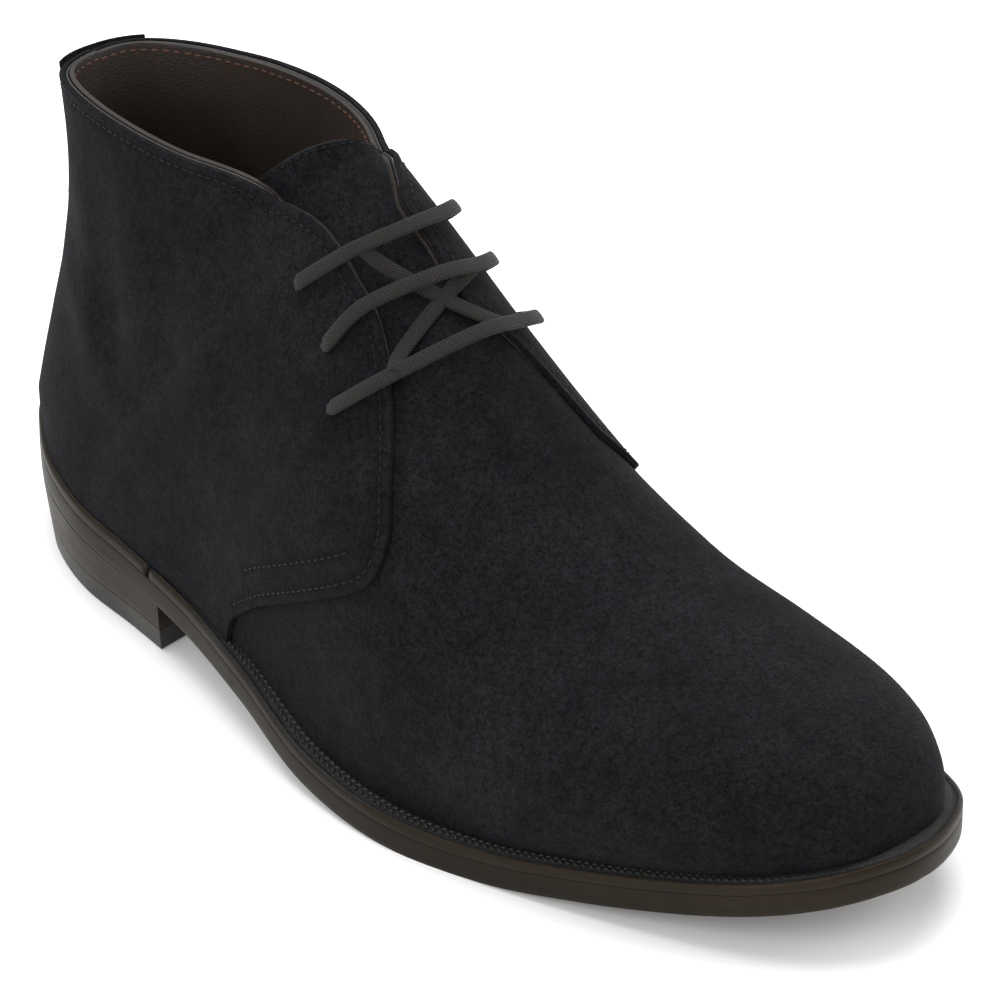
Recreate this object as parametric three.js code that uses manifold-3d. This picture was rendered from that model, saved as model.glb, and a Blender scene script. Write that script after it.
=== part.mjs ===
// A right chukka boot as an assembly of closed solids, in millimetres, toe towards -Y and up +Z.
// Lengths along the boot are distances from the back edge of the sole; "outer" is the side away from
// the other foot (-X) and "inner" is the side next to it (+X).
import * as THREE from "three";
import Module from "manifold-3d";
import { mergeVertices } from "three/addons/utils/BufferGeometryUtils.js";

const wasm = await Module();
wasm.setup();

// ---- driving dimensions ----
const soleLength = 303;
const soleEdge = 9.3; // welt and outsole together
const weltThick = 3;
const weltWidth = 12;
const gap = 0.3; // between touching pieces
const heelInset = 3; // sole edge to the upper, at the back
const toeInset = 5; // sole edge to the upper, at the toe
const heelLength = 80;
const heelHigh = 30; // the heel block is cut by the sole below this
const heelTaper = 2;
const topLiftThick = 6.4;
const wall = 1.8; // vamp with its lining, and each side's lining under its quarter
const overlayThick = 1.5; // suede of a quarter
const tongueThick = 2.2;
const insoleThick = 3;
const laceWidth = 4;
const laceThick = 2.2;
const edgeTrim = 0.4; // heel and welt stand this far inside the outsole's edge
const tabThick = 1.3;
const tabHalfWidth = 14;
const tabLow = 96;
const tabHigh = 134.4;
const breastLean = 0.4; // how far the heel's front leans, against its taper
const weltEnd = 76; // where the welt stops and the heel seat starts
const taperTop = 18; // the heel's taper starts under this height
const bedOverlap = 1; // the outsole's bed reaches down into its base
const insoleInset = 1; // the insole's ends stand clear of the lining by this
const edgeRound = 0.5;

// ---- bounds for cutting shapes, all clear of the boot ----
const behind = -20;
const clearOf = 20;
const below = -30;
const beyond = 400;
const farSide = 100;

// ---- tables ----
const table = (columns, rows) =>
  rows.map((row) => Object.fromEntries(columns.split(" ").map((c, i) => [c, row[i]])));

// The sole from heel to toe at stations evenly spaced in angle, so that both ends come out round:
// half widths to each side and the height of the welt's top.
const soleStations = table("outer inner top", [
  [0, 0, 32],
  [11.2, 12.8, 31.5],
  [20, 19.5, 30.4],
  [29.6, 26.4, 28.8],
  [36.6, 32, 26.7],
  [40, 33.4, 24.6],
  [45, 32, 22.7],
  [53, 32, 19.9],
  [60, 35.6, 12.4],
  [61.8, 44, 9.3],
  [56.4, 49.6, 9.3],
  [49.2, 48.2, 12.9],
  [41.4, 43.8, 17.1],
  [33.5, 36.3, 21.5],
  [24, 26.6, 25.5],
  [12.4, 13.2, 28.3],
  [0, 0, 29.2],
]);

// The last: one row per section, fanned out from the toe's upright arches to the collar's level ring.
// foot: how far along the feather line its feet stand; back: its back point once it is a ring;
// ridge: its top point; wide: half widths; rise: height of the widest point; round: fullness above
// and below that point.
const lastSections = table(
  "foot backS backZ ridgeS ridgeZ ridgeX outWide inWide rise roundTop roundFoot",
  [
    [1, 0, 0, 298, 29.2, 0, 0, 0, 0.3, 2.2, 2.4],
    [0.9975, 0, 0, 297.2, 35.5, 0, 8, 7.8, 0.3, 2.2, 2.4],
    [0.99, 0, 0, 295, 42, -0.2, 15, 14.4, 0.3, 2.2, 2.4],
    [0.978, 0, 0, 290.6, 47, -0.5, 20.6, 20, 0.3, 2.2, 2.4],
    [0.955, 0, 0, 283.4, 50.6, -0.9, 26, 26, 0.3, 2.3, 2.4],
    [0.92, 0, 0, 272.8, 53.2, -1.6, 33, 33, 0.28, 2.4, 2.4],
    [0.86, 0, 0, 255.6, 55.4, -3, 41.2, 41, 0.26, 2.4, 2.4],
    [0.77, 0, 0, 230.2, 60, -5, 49.6, 47, 0.24, 2.3, 2.4],
    [0.66, 0, 0, 207, 71, -6.5, 54.6, 46.4, 0.22, 2.13, 2.4],
    [0.53, 0, 0, 183.6, 93.4, -7, 52.8, 40.6, 0.22, 2.02, 2.4],
    [0.39, 0, 0, 159.7, 115.4, -6.5, 43.4, 36.2, 0.25, 1.9, 2.4],
    [0.26, 0, 0, 141.3, 130.6, -6, 37.2, 35.2, 0.32, 1.84, 2.4],
    [0.15, 0, 0, 130.1, 138.6, -5.5, 33, 34.4, 0.38, 1.8, 2.4],
    [0.07, 0, 0, 123.6, 143, -5, 30.2, 32.6, 0.42, 1.82, 2.4],
    [0.02, 0, 0, 120.3, 145.4, -4.5, 27.9, 31.6, 0.45, 1.86, 2.4],
    [0, 3, 32, 118.6, 146.7, -4.2, 26.6, 31.2, 0.46, 1.88, 2.4],
    [0, 5.6, 45, 117.4, 148.5, -4, 26.1, 31.1, 0.47, 1.92, 2.35],
    [0, 9.6, 62, 116.4, 151, -3.6, 25.7, 31.1, 0.48, 1.98, 2.3],
    [0, 14.6, 84, 115.7, 153.8, -3.2, 25.2, 30.8, 0.49, 2, 2.25],
    [0, 17.4, 108, 115.3, 156.8, -3, 25, 30.4, 0.5, 2.05, 2.4],
    [0, 15.6, 130, 115.2, 160, -3, 25, 29.8, 0.5, 2.05, 2.45],
    [0, 11, 150, 115.5, 164, -3, 25, 29.4, 0.5, 2.05, 2.45],
  ],
);
const seatRow = 15; // the row whose feet meet at the back of the heel
const throatRow = 11; // a row in the middle of the throat
const tongueFrom = 8.5; // the tongue's first row, under the vamp
const tongueTo = 17; // and its last, above its top edge
const tongueReach = 5; // grid points that it spans to each side of the ridge

// Outlines seen from the side, as lengths and heights, from the collar's back round to the sole.
const outerTopline = [
  [14, 133], [24, 135.2], [34, 136.4], [48, 136.8], [62, 136.8],
  [76, 137], [88, 137.2], [97.5, 136.2], [105, 133.8],
];
const innerTopline = [
  [14, 133], [24, 131.8], [38, 131.7], [51, 132.6], [64, 133.2],
  [76, 133.1], [88, 133], [97, 133.4], [105, 135.2],
];
const outerFacing = [[115, 133.2], [124.5, 129.6], [133, 124.6], [142.5, 118], [152.5, 107], [160, 96], [172, 74]];
const outerHem = [[171, 67.6], [164.5, 61.4], [147.5, 51.4], [130, 41], [119.5, 33], [114.2, 27], [112, 15]];
const innerFacing = [[112, 138], [120, 141.4], [130, 138.8], [143, 129.2], [158, 116.8], [173.5, 98], [186.4, 83]];
const innerHem = [[186.4, 76], [180, 68], [164, 57], [147, 46.5], [133, 36], [126, 27], [123, 12]];
const throatEnd = 163; // the vamp is whole in front of this
// the tongue's hidden rear edge, rising to its top
const tongueEdge = [
  [142, 66], [120, 96], [106, 120], [98, 134], [102, 141],
  [110, 146.6], [116, 148.8], [124, 149.4], [140, 149.4],
];

// Laces over the open throat, as side, length and height: three bars and two crossings under them.
const laceBars = [
  [[-30, 122.5, 121.6], [-23, 132, 130.6], [-12, 140, 136.2], [-1, 141, 136.2], [8, 137.5, 133.4]],
  [[-34, 136, 111.6], [-27, 141.5, 121.2], [-12, 151.5, 128], [1, 152.5, 126], [10, 148.5, 122.4]],
  [[-40, 144.5, 99.8], [-33, 155, 109.2], [-12, 165, 117.2], [4, 164.5, 114], [13, 161, 110]],
];
const laceCrossings = [
  [[-31.5, 156, 110.6], [-26, 153, 112.2], [-14, 152.5, 119.6], [-2, 153, 126.2]],
  [[-21, 134, 132], [-18, 140, 127.6], [-12, 151, 122], [-6, 160, 117.6], [-2, 165, 115.4]],
];

// ---- small helpers ----
/** A table column at a fractional row, as a smooth curve through its rows. */
function along(rows, column, t) {
  const last = rows.length - 1;
  const i = Math.min(Math.max(Math.floor(t), 0), last - 1);
  const u = t - i;
  const value = (k) => {
    if (k < 0) return 2 * rows[0][column] - rows[1][column];
    if (k > last) return 2 * rows[last][column] - rows[last - 1][column];
    return rows[k][column];
  };
  const [a, b, c, d] = [value(i - 1), value(i), value(i + 1), value(i + 2)];
  return b + 0.5 * u * (c - a + u * (2 * a - 5 * b + 4 * c - d + u * (3 * (b - c) + d - a)));
}

/** Fractional sole station at a share of the length, 0 at the heel and 1 at the toe. */
const station = (share) =>
  (Math.acos(1 - 2 * THREE.MathUtils.clamp(share, 0, 1)) / Math.PI) * (soleStations.length - 1);
const soleWidth = (side, share) => Math.max(along(soleStations, side, station(share)), 0);
const weltTop = (s) => along(soleStations, "top", station(s / soleLength));
const soleFloor = (s) => Math.max(weltTop(s) - soleEdge, 0);

/** The feather line, where the upper meets the welt. */
function feather(share) {
  const inset = 0.93 - 0.02 * THREE.MathUtils.clamp((share - 0.1) / 0.4, 0, 1);
  const s = heelInset + share * (soleLength - heelInset - toeInset);
  return {
    s,
    z: weltTop(s),
    outer: soleWidth("outer", share) * inset,
    inner: soleWidth("inner", share) * inset,
  };
}

/** The widest the sole gets to one side. */
const widest = (side) => Math.max(...Array.from({ length: 201 }, (_, i) => soleWidth(side, i / 200)));
const middle = (widest("outer") - widest("inner")) / 2; // moves the whole boot over the origin

/** A point from side (-X outer), length from the heel and height. */
const place = (x, s, z) => new THREE.Vector3(x + middle, soleLength / 2 - s, z);

/** n + 1 points evenly spaced along a polyline of {x, h}. */
function evenly(points, n) {
  const run = [0];
  for (let i = 1; i < points.length; i++)
    run.push(run[i - 1] + Math.hypot(points[i].x - points[i - 1].x, points[i].h - points[i - 1].h));
  const total = run.at(-1);
  let k = 1;
  return Array.from({ length: n + 1 }, (_, i) => {
    const want = (total * i) / n;
    while (k < points.length - 1 && run[k] < want) k++;
    const span = run[k] - run[k - 1];
    const u = span > 0 ? THREE.MathUtils.clamp((want - run[k - 1]) / span, 0, 1) : 0;
    const [a, b] = [points[k - 1], points[k]];
    return { x: a.x + (b.x - a.x) * u, h: a.h + (b.h - a.h) * u };
  });
}

/** Half of a section: from its foot out to its widest point and up to the ridge. */
function halfSection(foot, wide, height, rise, roundTop, roundFoot, n) {
  const width = Math.max(wide, foot + 0.02);
  const tuck = Math.pow(Math.max(1 - Math.pow(foot / width, roundFoot), 0), 1 / roundFoot);
  const turn = Math.asin(Math.pow(tuck, roundFoot / 2));
  const points = [];
  const lowSteps = 30;
  const highSteps = 60;
  for (let i = 0; i <= lowSteps; i++) {
    const angle = turn * (1 - i / lowSteps);
    const share = tuck > 1e-6 ? Math.pow(Math.sin(angle), 2 / roundFoot) / tuck : 1 - i / lowSteps;
    points.push({ x: width * Math.pow(Math.cos(angle), 2 / roundFoot), h: height * rise * (1 - share) });
  }
  for (let i = 1; i <= highSteps; i++) {
    const angle = (Math.PI / 2) * (i / highSteps);
    const x = i < highSteps ? width * Math.pow(Math.cos(angle), 2 / roundTop) : 0;
    points.push({ x, h: height * (rise + (1 - rise) * Math.pow(Math.sin(angle), 2 / roundTop)) });
  }
  return evenly(points, n);
}

/** One section of the last as 2n + 1 points, outer foot to ridge to inner foot. */
function lastSection(t, n) {
  const at = (column) => along(lastSections, column, t);
  const line = feather(t < seatRow ? Math.max(at("foot"), 0) : 0);
  const leg = lastSections.slice(seatRow);
  const onSole = t <= seatRow;
  const back = onSole
    ? { s: line.s, z: line.z }
    : { s: along(leg, "backS", t - seatRow), z: along(leg, "backZ", t - seatRow) };
  const ridge = t === 0 ? { s: line.s, z: line.z } : { s: at("ridgeS"), z: at("ridgeZ") };
  const height = Math.hypot(ridge.s - back.s, ridge.z - back.z);
  const shape = [at("rise"), at("roundTop"), at("roundFoot"), n];
  const sides = [
    [-1, onSole ? line.outer : 0, at("outWide")],
    [1, onSole ? line.inner : 0, at("inWide")],
  ].map(([side, foot, wide]) =>
    halfSection(foot, t === 0 ? 0 : wide, height, ...shape).map(({ x, h }) => {
      const u = height > 0 ? h / height : 0;
      const s = back.s + (ridge.s - back.s) * u;
      return place(side * x + at("ridgeX") * u, s, back.z + (ridge.z - back.z) * u);
    }),
  );
  return [...sides[0], ...sides[1].reverse().slice(1)];
}

const rowStep = 0.5;
const halfPoints = 11;
const lastGrid = Array.from({ length: (lastSections.length - 1) / rowStep + 1 }, (_, i) =>
  lastSection(i * rowStep, halfPoints),
);
const seatIndex = seatRow / rowStep;

/** Outward normals of the last's grid: the mean of the facets round each point. */
function gridNormals(grid) {
  const sums = grid.map((row) => row.map(() => new THREE.Vector3()));
  const end = grid[0].length - 1;
  for (let i = 0; i < grid.length - 1; i++)
    for (let j = 0; j < end; j++) {
      const rising = grid[i + 1][j].clone().sub(grid[i][j + 1]);
      const facet = grid[i + 1][j + 1].clone().sub(grid[i][j]).cross(rising);
      for (const [k, l] of [[i, j], [i + 1, j], [i, j + 1], [i + 1, j + 1]]) sums[k][l].add(facet);
    }
  return sums.map((row, i) => {
    if (i === 0) return row.map(() => new THREE.Vector3(0, -1, 0));
    const seam = row[0].clone().add(row[end]);
    if (i >= seatIndex) [row[0], row[end]] = [seam, seam.clone()];
    if (i <= seatIndex) for (const foot of [row[0], row[end]]) foot.z = 0;
    return row.map((sum) => sum.normalize());
  });
}
const lastNormals = gridNormals(lastGrid);

/** The last's grid moved out (or in) by a distance; feet of an inner form drop to open its floor. */
const offsetGrid = (distance) =>
  lastGrid.map((row, i) =>
    row.map((point, j) => {
      const moved = point.clone().addScaledVector(lastNormals[i][j], distance);
      if (distance < 0 && i <= seatIndex && (j === 0 || j === row.length - 1)) moved.z -= 1;
      return moved;
    }),
  );

// ---- solids ----
/** A manifold-3d solid from a triangle soup of points. */
function solidFrom(points) {
  const soup = new THREE.BufferGeometry().setFromPoints(points);
  const merged = mergeVertices(soup, 1e-3);
  const index = [];
  const source = merged.index.array;
  for (let i = 0; i < source.length; i += 3) {
    const [a, b, c] = source.slice(i, i + 3);
    if (a !== b && b !== c && c !== a) index.push(a, b, c);
  }
  return new wasm.Manifold(
    new wasm.Mesh({
      numProp: 3,
      vertProperties: merged.attributes.position.array,
      triVerts: new Uint32Array(index),
    }),
  );
}

/** A closed solid through rings of equal length, with its two ends capped. */
function loft(rings) {
  const points = [];
  for (let i = 0; i < rings.length - 1; i++)
    for (let j = 0; j < rings[i].length; j++) {
      const k = (j + 1) % rings[i].length;
      const [a, b, c, d] = [rings[i][j], rings[i][k], rings[i + 1][k], rings[i + 1][j]];
      // each half is split along its own diagonal, so that left and right mirror each other
      points.push(...(2 * j + 1 < rings[i].length ? [a, b, c, a, c, d] : [a, b, d, b, c, d]));
    }
  const cap = (ring, turned) => {
    const centre = ring.reduce((sum, p) => sum.add(p), new THREE.Vector3()).divideScalar(ring.length);
    ring.forEach((p, j) => {
      const q = ring[(j + 1) % ring.length];
      points.push(centre, ...(turned ? [p, q] : [q, p]));
    });
  };
  const spread = (ring) => Math.max(...ring.map((p) => p.distanceTo(ring[0])));
  if (spread(rings[0]) > 0.01) cap(rings[0], false);
  if (spread(rings.at(-1)) > 0.01) cap(rings.at(-1), true);
  const made = solidFrom(points);
  return made.volume() < 0 ? solidFrom(points.toReversed()) : made;
}

/** The biggest body of a solid, without the slivers that a cut can leave. */
const largest = (solid) => solid.decompose().sort((a, b) => b.volume() - a.volume())[0];

/** A solid of the last at an offset, closed below and at the collar. */
const lastForm = (distance) => loft(offsetGrid(distance));

/** A plate of the sole's outline: inset and heights are functions of the length. */
function plate({ from = 0, to = soleLength, low, high, inset = () => 0, steps = 40, round = 0 }) {
  const angle = (s) => Math.acos(1 - (2 * s) / soleLength);
  const rings = Array.from({ length: steps + 1 }, (_, i) => {
    const s = (soleLength * (1 - Math.cos(angle(from) + ((angle(to) - angle(from)) * i) / steps))) / 2;
    const wide = (side) => Math.max(soleWidth(side, s / soleLength) - inset(s), 0);
    const [bottom, top] = [low(s), high(s)];
    const [edge, far] = [wide("outer"), wide("inner")];
    const soft = (w) => Math.max(w - round, 0);
    return [
      place(-soft(edge), s, bottom),
      place(-edge, s, bottom + round),
      place(-edge, s, top - round),
      place(-soft(edge), s, top),
      place(soft(far), s, top),
      place(far, s, top - round),
      place(far, s, bottom + round),
      place(soft(far), s, bottom),
    ];
  });
  return loft(rings);
}

/** A prism across the boot from an outline seen from the side. */
function sidePrism(outline, xFrom = -farSide, xTo = farSide) {
  const shape = new THREE.Shape(outline.map(([s, z]) => new THREE.Vector2(s, z)));
  const prism = new THREE.ExtrudeGeometry(shape, { depth: xTo - xFrom, bevelEnabled: false });
  const position = prism.getAttribute("position");
  const points = Array.from({ length: position.count }, (_, i) =>
    place(xFrom + position.getZ(i) - middle, position.getX(i), position.getY(i)),
  );
  const made = solidFrom(points);
  return made.volume() < 0 ? solidFrom(points.toReversed()) : made;
}

/** Smooth points through an outline's control points. */
const smooth = (outline, n) =>
  new THREE.SplineCurve(outline.map(([s, z]) => new THREE.Vector2(s, z)))
    .getPoints(n)
    .map((p) => [p.x, p.y]);

/** A closed manifold as a named mesh. */
function addMesh(group, name, solid, material) {
  const made = solid.getMesh();
  const geometry = new THREE.BufferGeometry()
    .setAttribute("position", new THREE.BufferAttribute(new Float32Array(made.vertProperties), 3))
    .setIndex(new THREE.BufferAttribute(new Uint32Array(made.triVerts), 1));
  geometry.computeVertexNormals();
  const mesh = new THREE.Mesh(geometry, material);
  mesh.name = name;
  group.add(mesh);
}

const finish = (color, roughness) => new THREE.MeshStandardMaterial({ color, roughness, metalness: 0 });
const suede = finish(0x171b22, 0.95);
const lining = finish(0x2c211c, 0.6);
const edgeLeather = finish(0x17120f, 0.45);
const rubber = finish(0x141312, 0.7);
const laceCotton = finish(0x24262a, 0.8);

// ---- sole unit ----
const belowUpper = plate({
  low: () => below,
  high: (s) => weltTop(s) + gap,
  inset: () => -clearOf,
});

const aboveSoleFloor = plate({
  low: (s) => soleFloor(s) - gap,
  high: () => beyond,
  inset: () => -clearOf,
});

function makeOutsole() {
  const base = plate({ low: soleFloor, high: (s) => weltTop(s) - weltThick - gap, round: edgeRound });
  const bed = plate({
    from: weltWidth,
    to: soleLength - weltWidth,
    low: (s) => weltTop(s) - weltThick - bedOverlap,
    high: (s) => weltTop(s) - gap,
    inset: () => weltWidth + gap,
  });
  return base.add(bed);
}

/** The strip round the sole's edge between two lengths. */
function edgeStrip(from, to) {
  const strip = plate({
    low: (s) => weltTop(s) - weltThick,
    high: weltTop,
    round: edgeRound,
    inset: () => edgeTrim,
  });
  const hole = plate({ low: () => below, high: () => beyond, inset: () => weltWidth });
  const span = sidePrism([[from, below], [to, below], [to, beyond], [from, beyond]]);
  return strip.subtract(hole).intersect(span);
}

/** The heel between two levels, tapering to the ground. */
function heelPart(low, high) {
  const rise = (z) => THREE.MathUtils.clamp(1 - z / taperTop, 0, 1) * heelTaper;
  const layers = 3;
  const steps = 20;
  const backToFront = Array.from({ length: steps + 1 }, (_, i) =>
    1 - Math.cos((Math.PI / 2) * (i / steps)),
  );
  const outline = [
    ...backToFront.map((share) => [-1, "outer", share]),
    ...backToFront.slice(1).reverse().map((share) => [1, "inner", share]),
  ];
  const rings = Array.from({ length: layers + 1 }, (_, k) =>
    outline.map(([side, name, share]) => {
      const z = low + ((high - low) * k) / layers;
      const taper = rise(z);
      const inset = taper + edgeTrim;
      const s = inset + share * (heelLength - taper * breastLean - inset);
      const width = soleWidth(name, (share * heelLength) / soleLength) - inset;
      return place(side * Math.max(width, 0), s, z);
    }),
  );
  return loft(rings);
}

// ---- upper ----
const outerHull = lastForm(0);
const innerHull = lastForm(-wall);
const overlayOut = lastForm(gap + overlayThick);
const overlayIn = lastForm(gap);

/** The collar and the facing of one side as one line, carried back past the heel. */
const openEdge = (topline, facing) => [[behind, topline[0][1]], ...smooth([...topline, ...facing], 60)];

/** What a side keeps, seen from the side: under its topline and behind its facing. */
const sideOutline = (topline, facing, hem) => [
  [behind, below],
  ...openEdge(topline, facing),
  ...smooth(hem, 24),
  [hem.at(-1)[0], below],
];

/** What the lining layer keeps on one side: the same line, but whole in front of the throat. */
const liningOutline = (topline, facing) => [
  [behind, below],
  ...openEdge(topline, facing).filter(([s]) => s < throatEnd),
  [throatEnd, beyond],
  [beyond, beyond],
  [beyond, below],
];

function makeUpper() {
  const shell = outerHull.subtract(innerHull).subtract(belowUpper);
  const ridge = middle + along(lastSections, "ridgeX", throatRow);
  const outerSide = sidePrism(liningOutline(outerTopline, outerFacing), -farSide, ridge);
  const innerSide = sidePrism(liningOutline(innerTopline, innerFacing), ridge, farSide);
  return shell.intersect(outerSide.add(innerSide));
}

function makeQuarter(topline, facing, hem, xFrom, xTo) {
  const skin = overlayOut.subtract(overlayIn).subtract(belowUpper);
  return skin.intersect(sidePrism(sideOutline(topline, facing, hem), xFrom, xTo));
}

function makeInsole() {
  const layer = plate({
    from: heelInset + wall + insoleInset,
    to: soleLength - toeInset - wall - insoleInset,
    low: (s) => weltTop(s) + gap,
    high: (s) => weltTop(s) + gap + insoleThick,
  });
  return layer.intersect(lastForm(-wall - 2 * gap));
}

/** The tongue: a strip of the last just inside the lining, over its ridge. */
function makeTongue() {
  const top = offsetGrid(-wall - gap);
  const bottom = offsetGrid(-wall - gap - tongueThick);
  const [from, to] = [halfPoints - tongueReach, halfPoints + tongueReach + 1];
  const rings = [];
  for (let i = tongueFrom / rowStep; i <= tongueTo / rowStep; i++)
    rings.push([...top[i].slice(from, to), ...bottom[i].slice(from, to).reverse()]);
  const edge = smooth(tongueEdge, 24);
  const limit = sidePrism([...edge, [beyond, edge.at(-1)[1]], [beyond, below], [edge[0][0], below]]);
  return largest(loft(rings).intersect(limit));
}

/** The tab over the back seam: a short suede strip on both quarters. */
function makeHeelTab() {
  const inside = 2 * gap + overlayThick;
  const skin = lastForm(inside + tabThick).subtract(lastForm(inside));
  const front = heelLength / 2; // ahead of the heel's curve
  const outline = [[behind, tabLow], [front, tabLow], [front, tabHigh], [behind, tabHigh]];
  return skin.intersect(sidePrism(outline, middle - tabHalfWidth, middle + tabHalfWidth));
}

/** A flat lace along hand-placed points. */
function laceRun(points) {
  const path = new THREE.CatmullRomCurve3(points.map(([x, s, z]) => place(x, s, z)), false, "centripetal");
  const section = new THREE.Shape();
  section.absellipse(0, 0, laceThick / 2, laceWidth / 2, 0, 2 * Math.PI);
  const run = new THREE.ExtrudeGeometry(section, { steps: 9, curveSegments: 4, extrudePath: path });
  const position = run.getAttribute("position");
  const soup = Array.from({ length: position.count }, (_, i) =>
    new THREE.Vector3().fromBufferAttribute(position, i),
  );
  return solidFrom(soup);
}

const makeLaces = () => [...laceBars, ...laceCrossings].map(laceRun).reduce((all, run) => all.add(run));

// ---- assembly ----
const boot = new THREE.Group();
addMesh(boot, "outsole", makeOutsole(), edgeLeather);
addMesh(boot, "welt", edgeStrip(weltEnd, beyond), edgeLeather);
addMesh(boot, "heel_seat", edgeStrip(behind, weltEnd - gap), edgeLeather);
addMesh(boot, "heel_block", heelPart(topLiftThick + gap, heelHigh).subtract(aboveSoleFloor), edgeLeather);
addMesh(boot, "top_lift", heelPart(0, topLiftThick), rubber);
addMesh(boot, "insole", makeInsole(), lining);
addMesh(boot, "upper", makeUpper(), lining);
const seam = gap / 2; // each quarter's share of the gap at the back seam
const quarterOuter = makeQuarter(outerTopline, outerFacing, outerHem, -farSide, middle - seam);
const quarterInner = makeQuarter(innerTopline, innerFacing, innerHem, middle + seam, farSide);
addMesh(boot, "quarter_outer", quarterOuter, suede);
addMesh(boot, "quarter_inner", quarterInner, suede);
addMesh(boot, "tongue", makeTongue(), suede);
addMesh(boot, "heel_tab", makeHeelTab(), suede);
addMesh(boot, "laces", makeLaces(), laceCotton);

export default boot;
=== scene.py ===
"""A right chukka boot in blue-black suede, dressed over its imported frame.

The frame gives the sizes and the places, and the classes below build each visible piece of the boot
on the same last and the same sole. Tables are in millimetres: s is the distance from the sole's back
edge, z the height, and a side is outer (-X) or inner (+X). Meshes are in metres.
"""

import logging
import math
from dataclasses import dataclass, field
from enum import Enum
from typing import Callable, Iterable, Sequence

import bmesh
import bpy
import numpy as np
from mathutils import Matrix, Vector
from mathutils.kdtree import KDTree


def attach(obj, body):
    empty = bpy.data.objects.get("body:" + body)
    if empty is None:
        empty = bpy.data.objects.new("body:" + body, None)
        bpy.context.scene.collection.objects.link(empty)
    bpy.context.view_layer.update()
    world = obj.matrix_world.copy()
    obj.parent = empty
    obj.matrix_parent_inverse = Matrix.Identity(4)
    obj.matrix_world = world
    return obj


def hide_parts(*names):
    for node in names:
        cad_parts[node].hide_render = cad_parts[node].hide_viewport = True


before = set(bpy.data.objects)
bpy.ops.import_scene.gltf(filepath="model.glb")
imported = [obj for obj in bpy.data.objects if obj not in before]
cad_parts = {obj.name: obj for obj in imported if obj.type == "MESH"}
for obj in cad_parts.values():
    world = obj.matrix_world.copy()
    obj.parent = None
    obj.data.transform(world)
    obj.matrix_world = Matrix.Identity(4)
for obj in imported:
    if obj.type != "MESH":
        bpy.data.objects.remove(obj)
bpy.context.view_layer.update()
log = logging.getLogger("boot")

MM = 0.001
BODY = "root"

Colour = tuple[float, float, float, float]
Heights = Callable[[np.ndarray], np.ndarray]  # heights, in millimetres, as a function of lengths
Normals = Callable[[np.ndarray], np.ndarray]  # the outward normal near a point


# ---------------------------------------------------------------- curves and forms


class Side(Enum):
    """Which side of the boot, with the sign of its X."""

    OUTER = -1
    INNER = 1


def rows(*values: Sequence[float]) -> np.ndarray:
    """A table's rows as an array."""
    return np.array(values, float)


def along(table: np.ndarray, t: np.ndarray) -> np.ndarray:
    """A smooth curve through the rows of a table.

    Args:
        table: One row per knot.
        t: Fractional row numbers.

    Returns:
        One interpolated row for each t.
    """
    last = len(table) - 1
    padded = np.vstack([2 * table[0] - table[1], table, 2 * table[-1] - table[-2]])
    i = np.clip(np.floor(t).astype(int), 0, last - 1)
    u = (np.asarray(t, float) - i)[..., None]
    a, b, c, d = (padded[i + k] for k in range(4))
    return b + 0.5 * u * (c - a + u * (2 * a - 5 * b + 4 * c - d + u * (3 * (b - c) + d - a)))


def ease(x: np.ndarray, start: float, end: float) -> np.ndarray:
    """0 before start, 1 after end, and smooth between them."""
    u = np.clip((np.asarray(x, float) - start) / (end - start), 0, 1)
    return u * u * (3 - 2 * u)


def lengths(points: np.ndarray) -> np.ndarray:
    """Running length along a polyline, starting at 0."""
    steps = np.linalg.norm(np.diff(points, axis=0), axis=1)
    return np.concatenate([[0.0], np.cumsum(steps)])


def resample(points: np.ndarray, run: np.ndarray, wanted: np.ndarray) -> np.ndarray:
    """Points of a polyline at the wanted places along its running length."""
    return np.stack([np.interp(wanted, run, points[:, k]) for k in range(points.shape[1])], axis=1)


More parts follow.
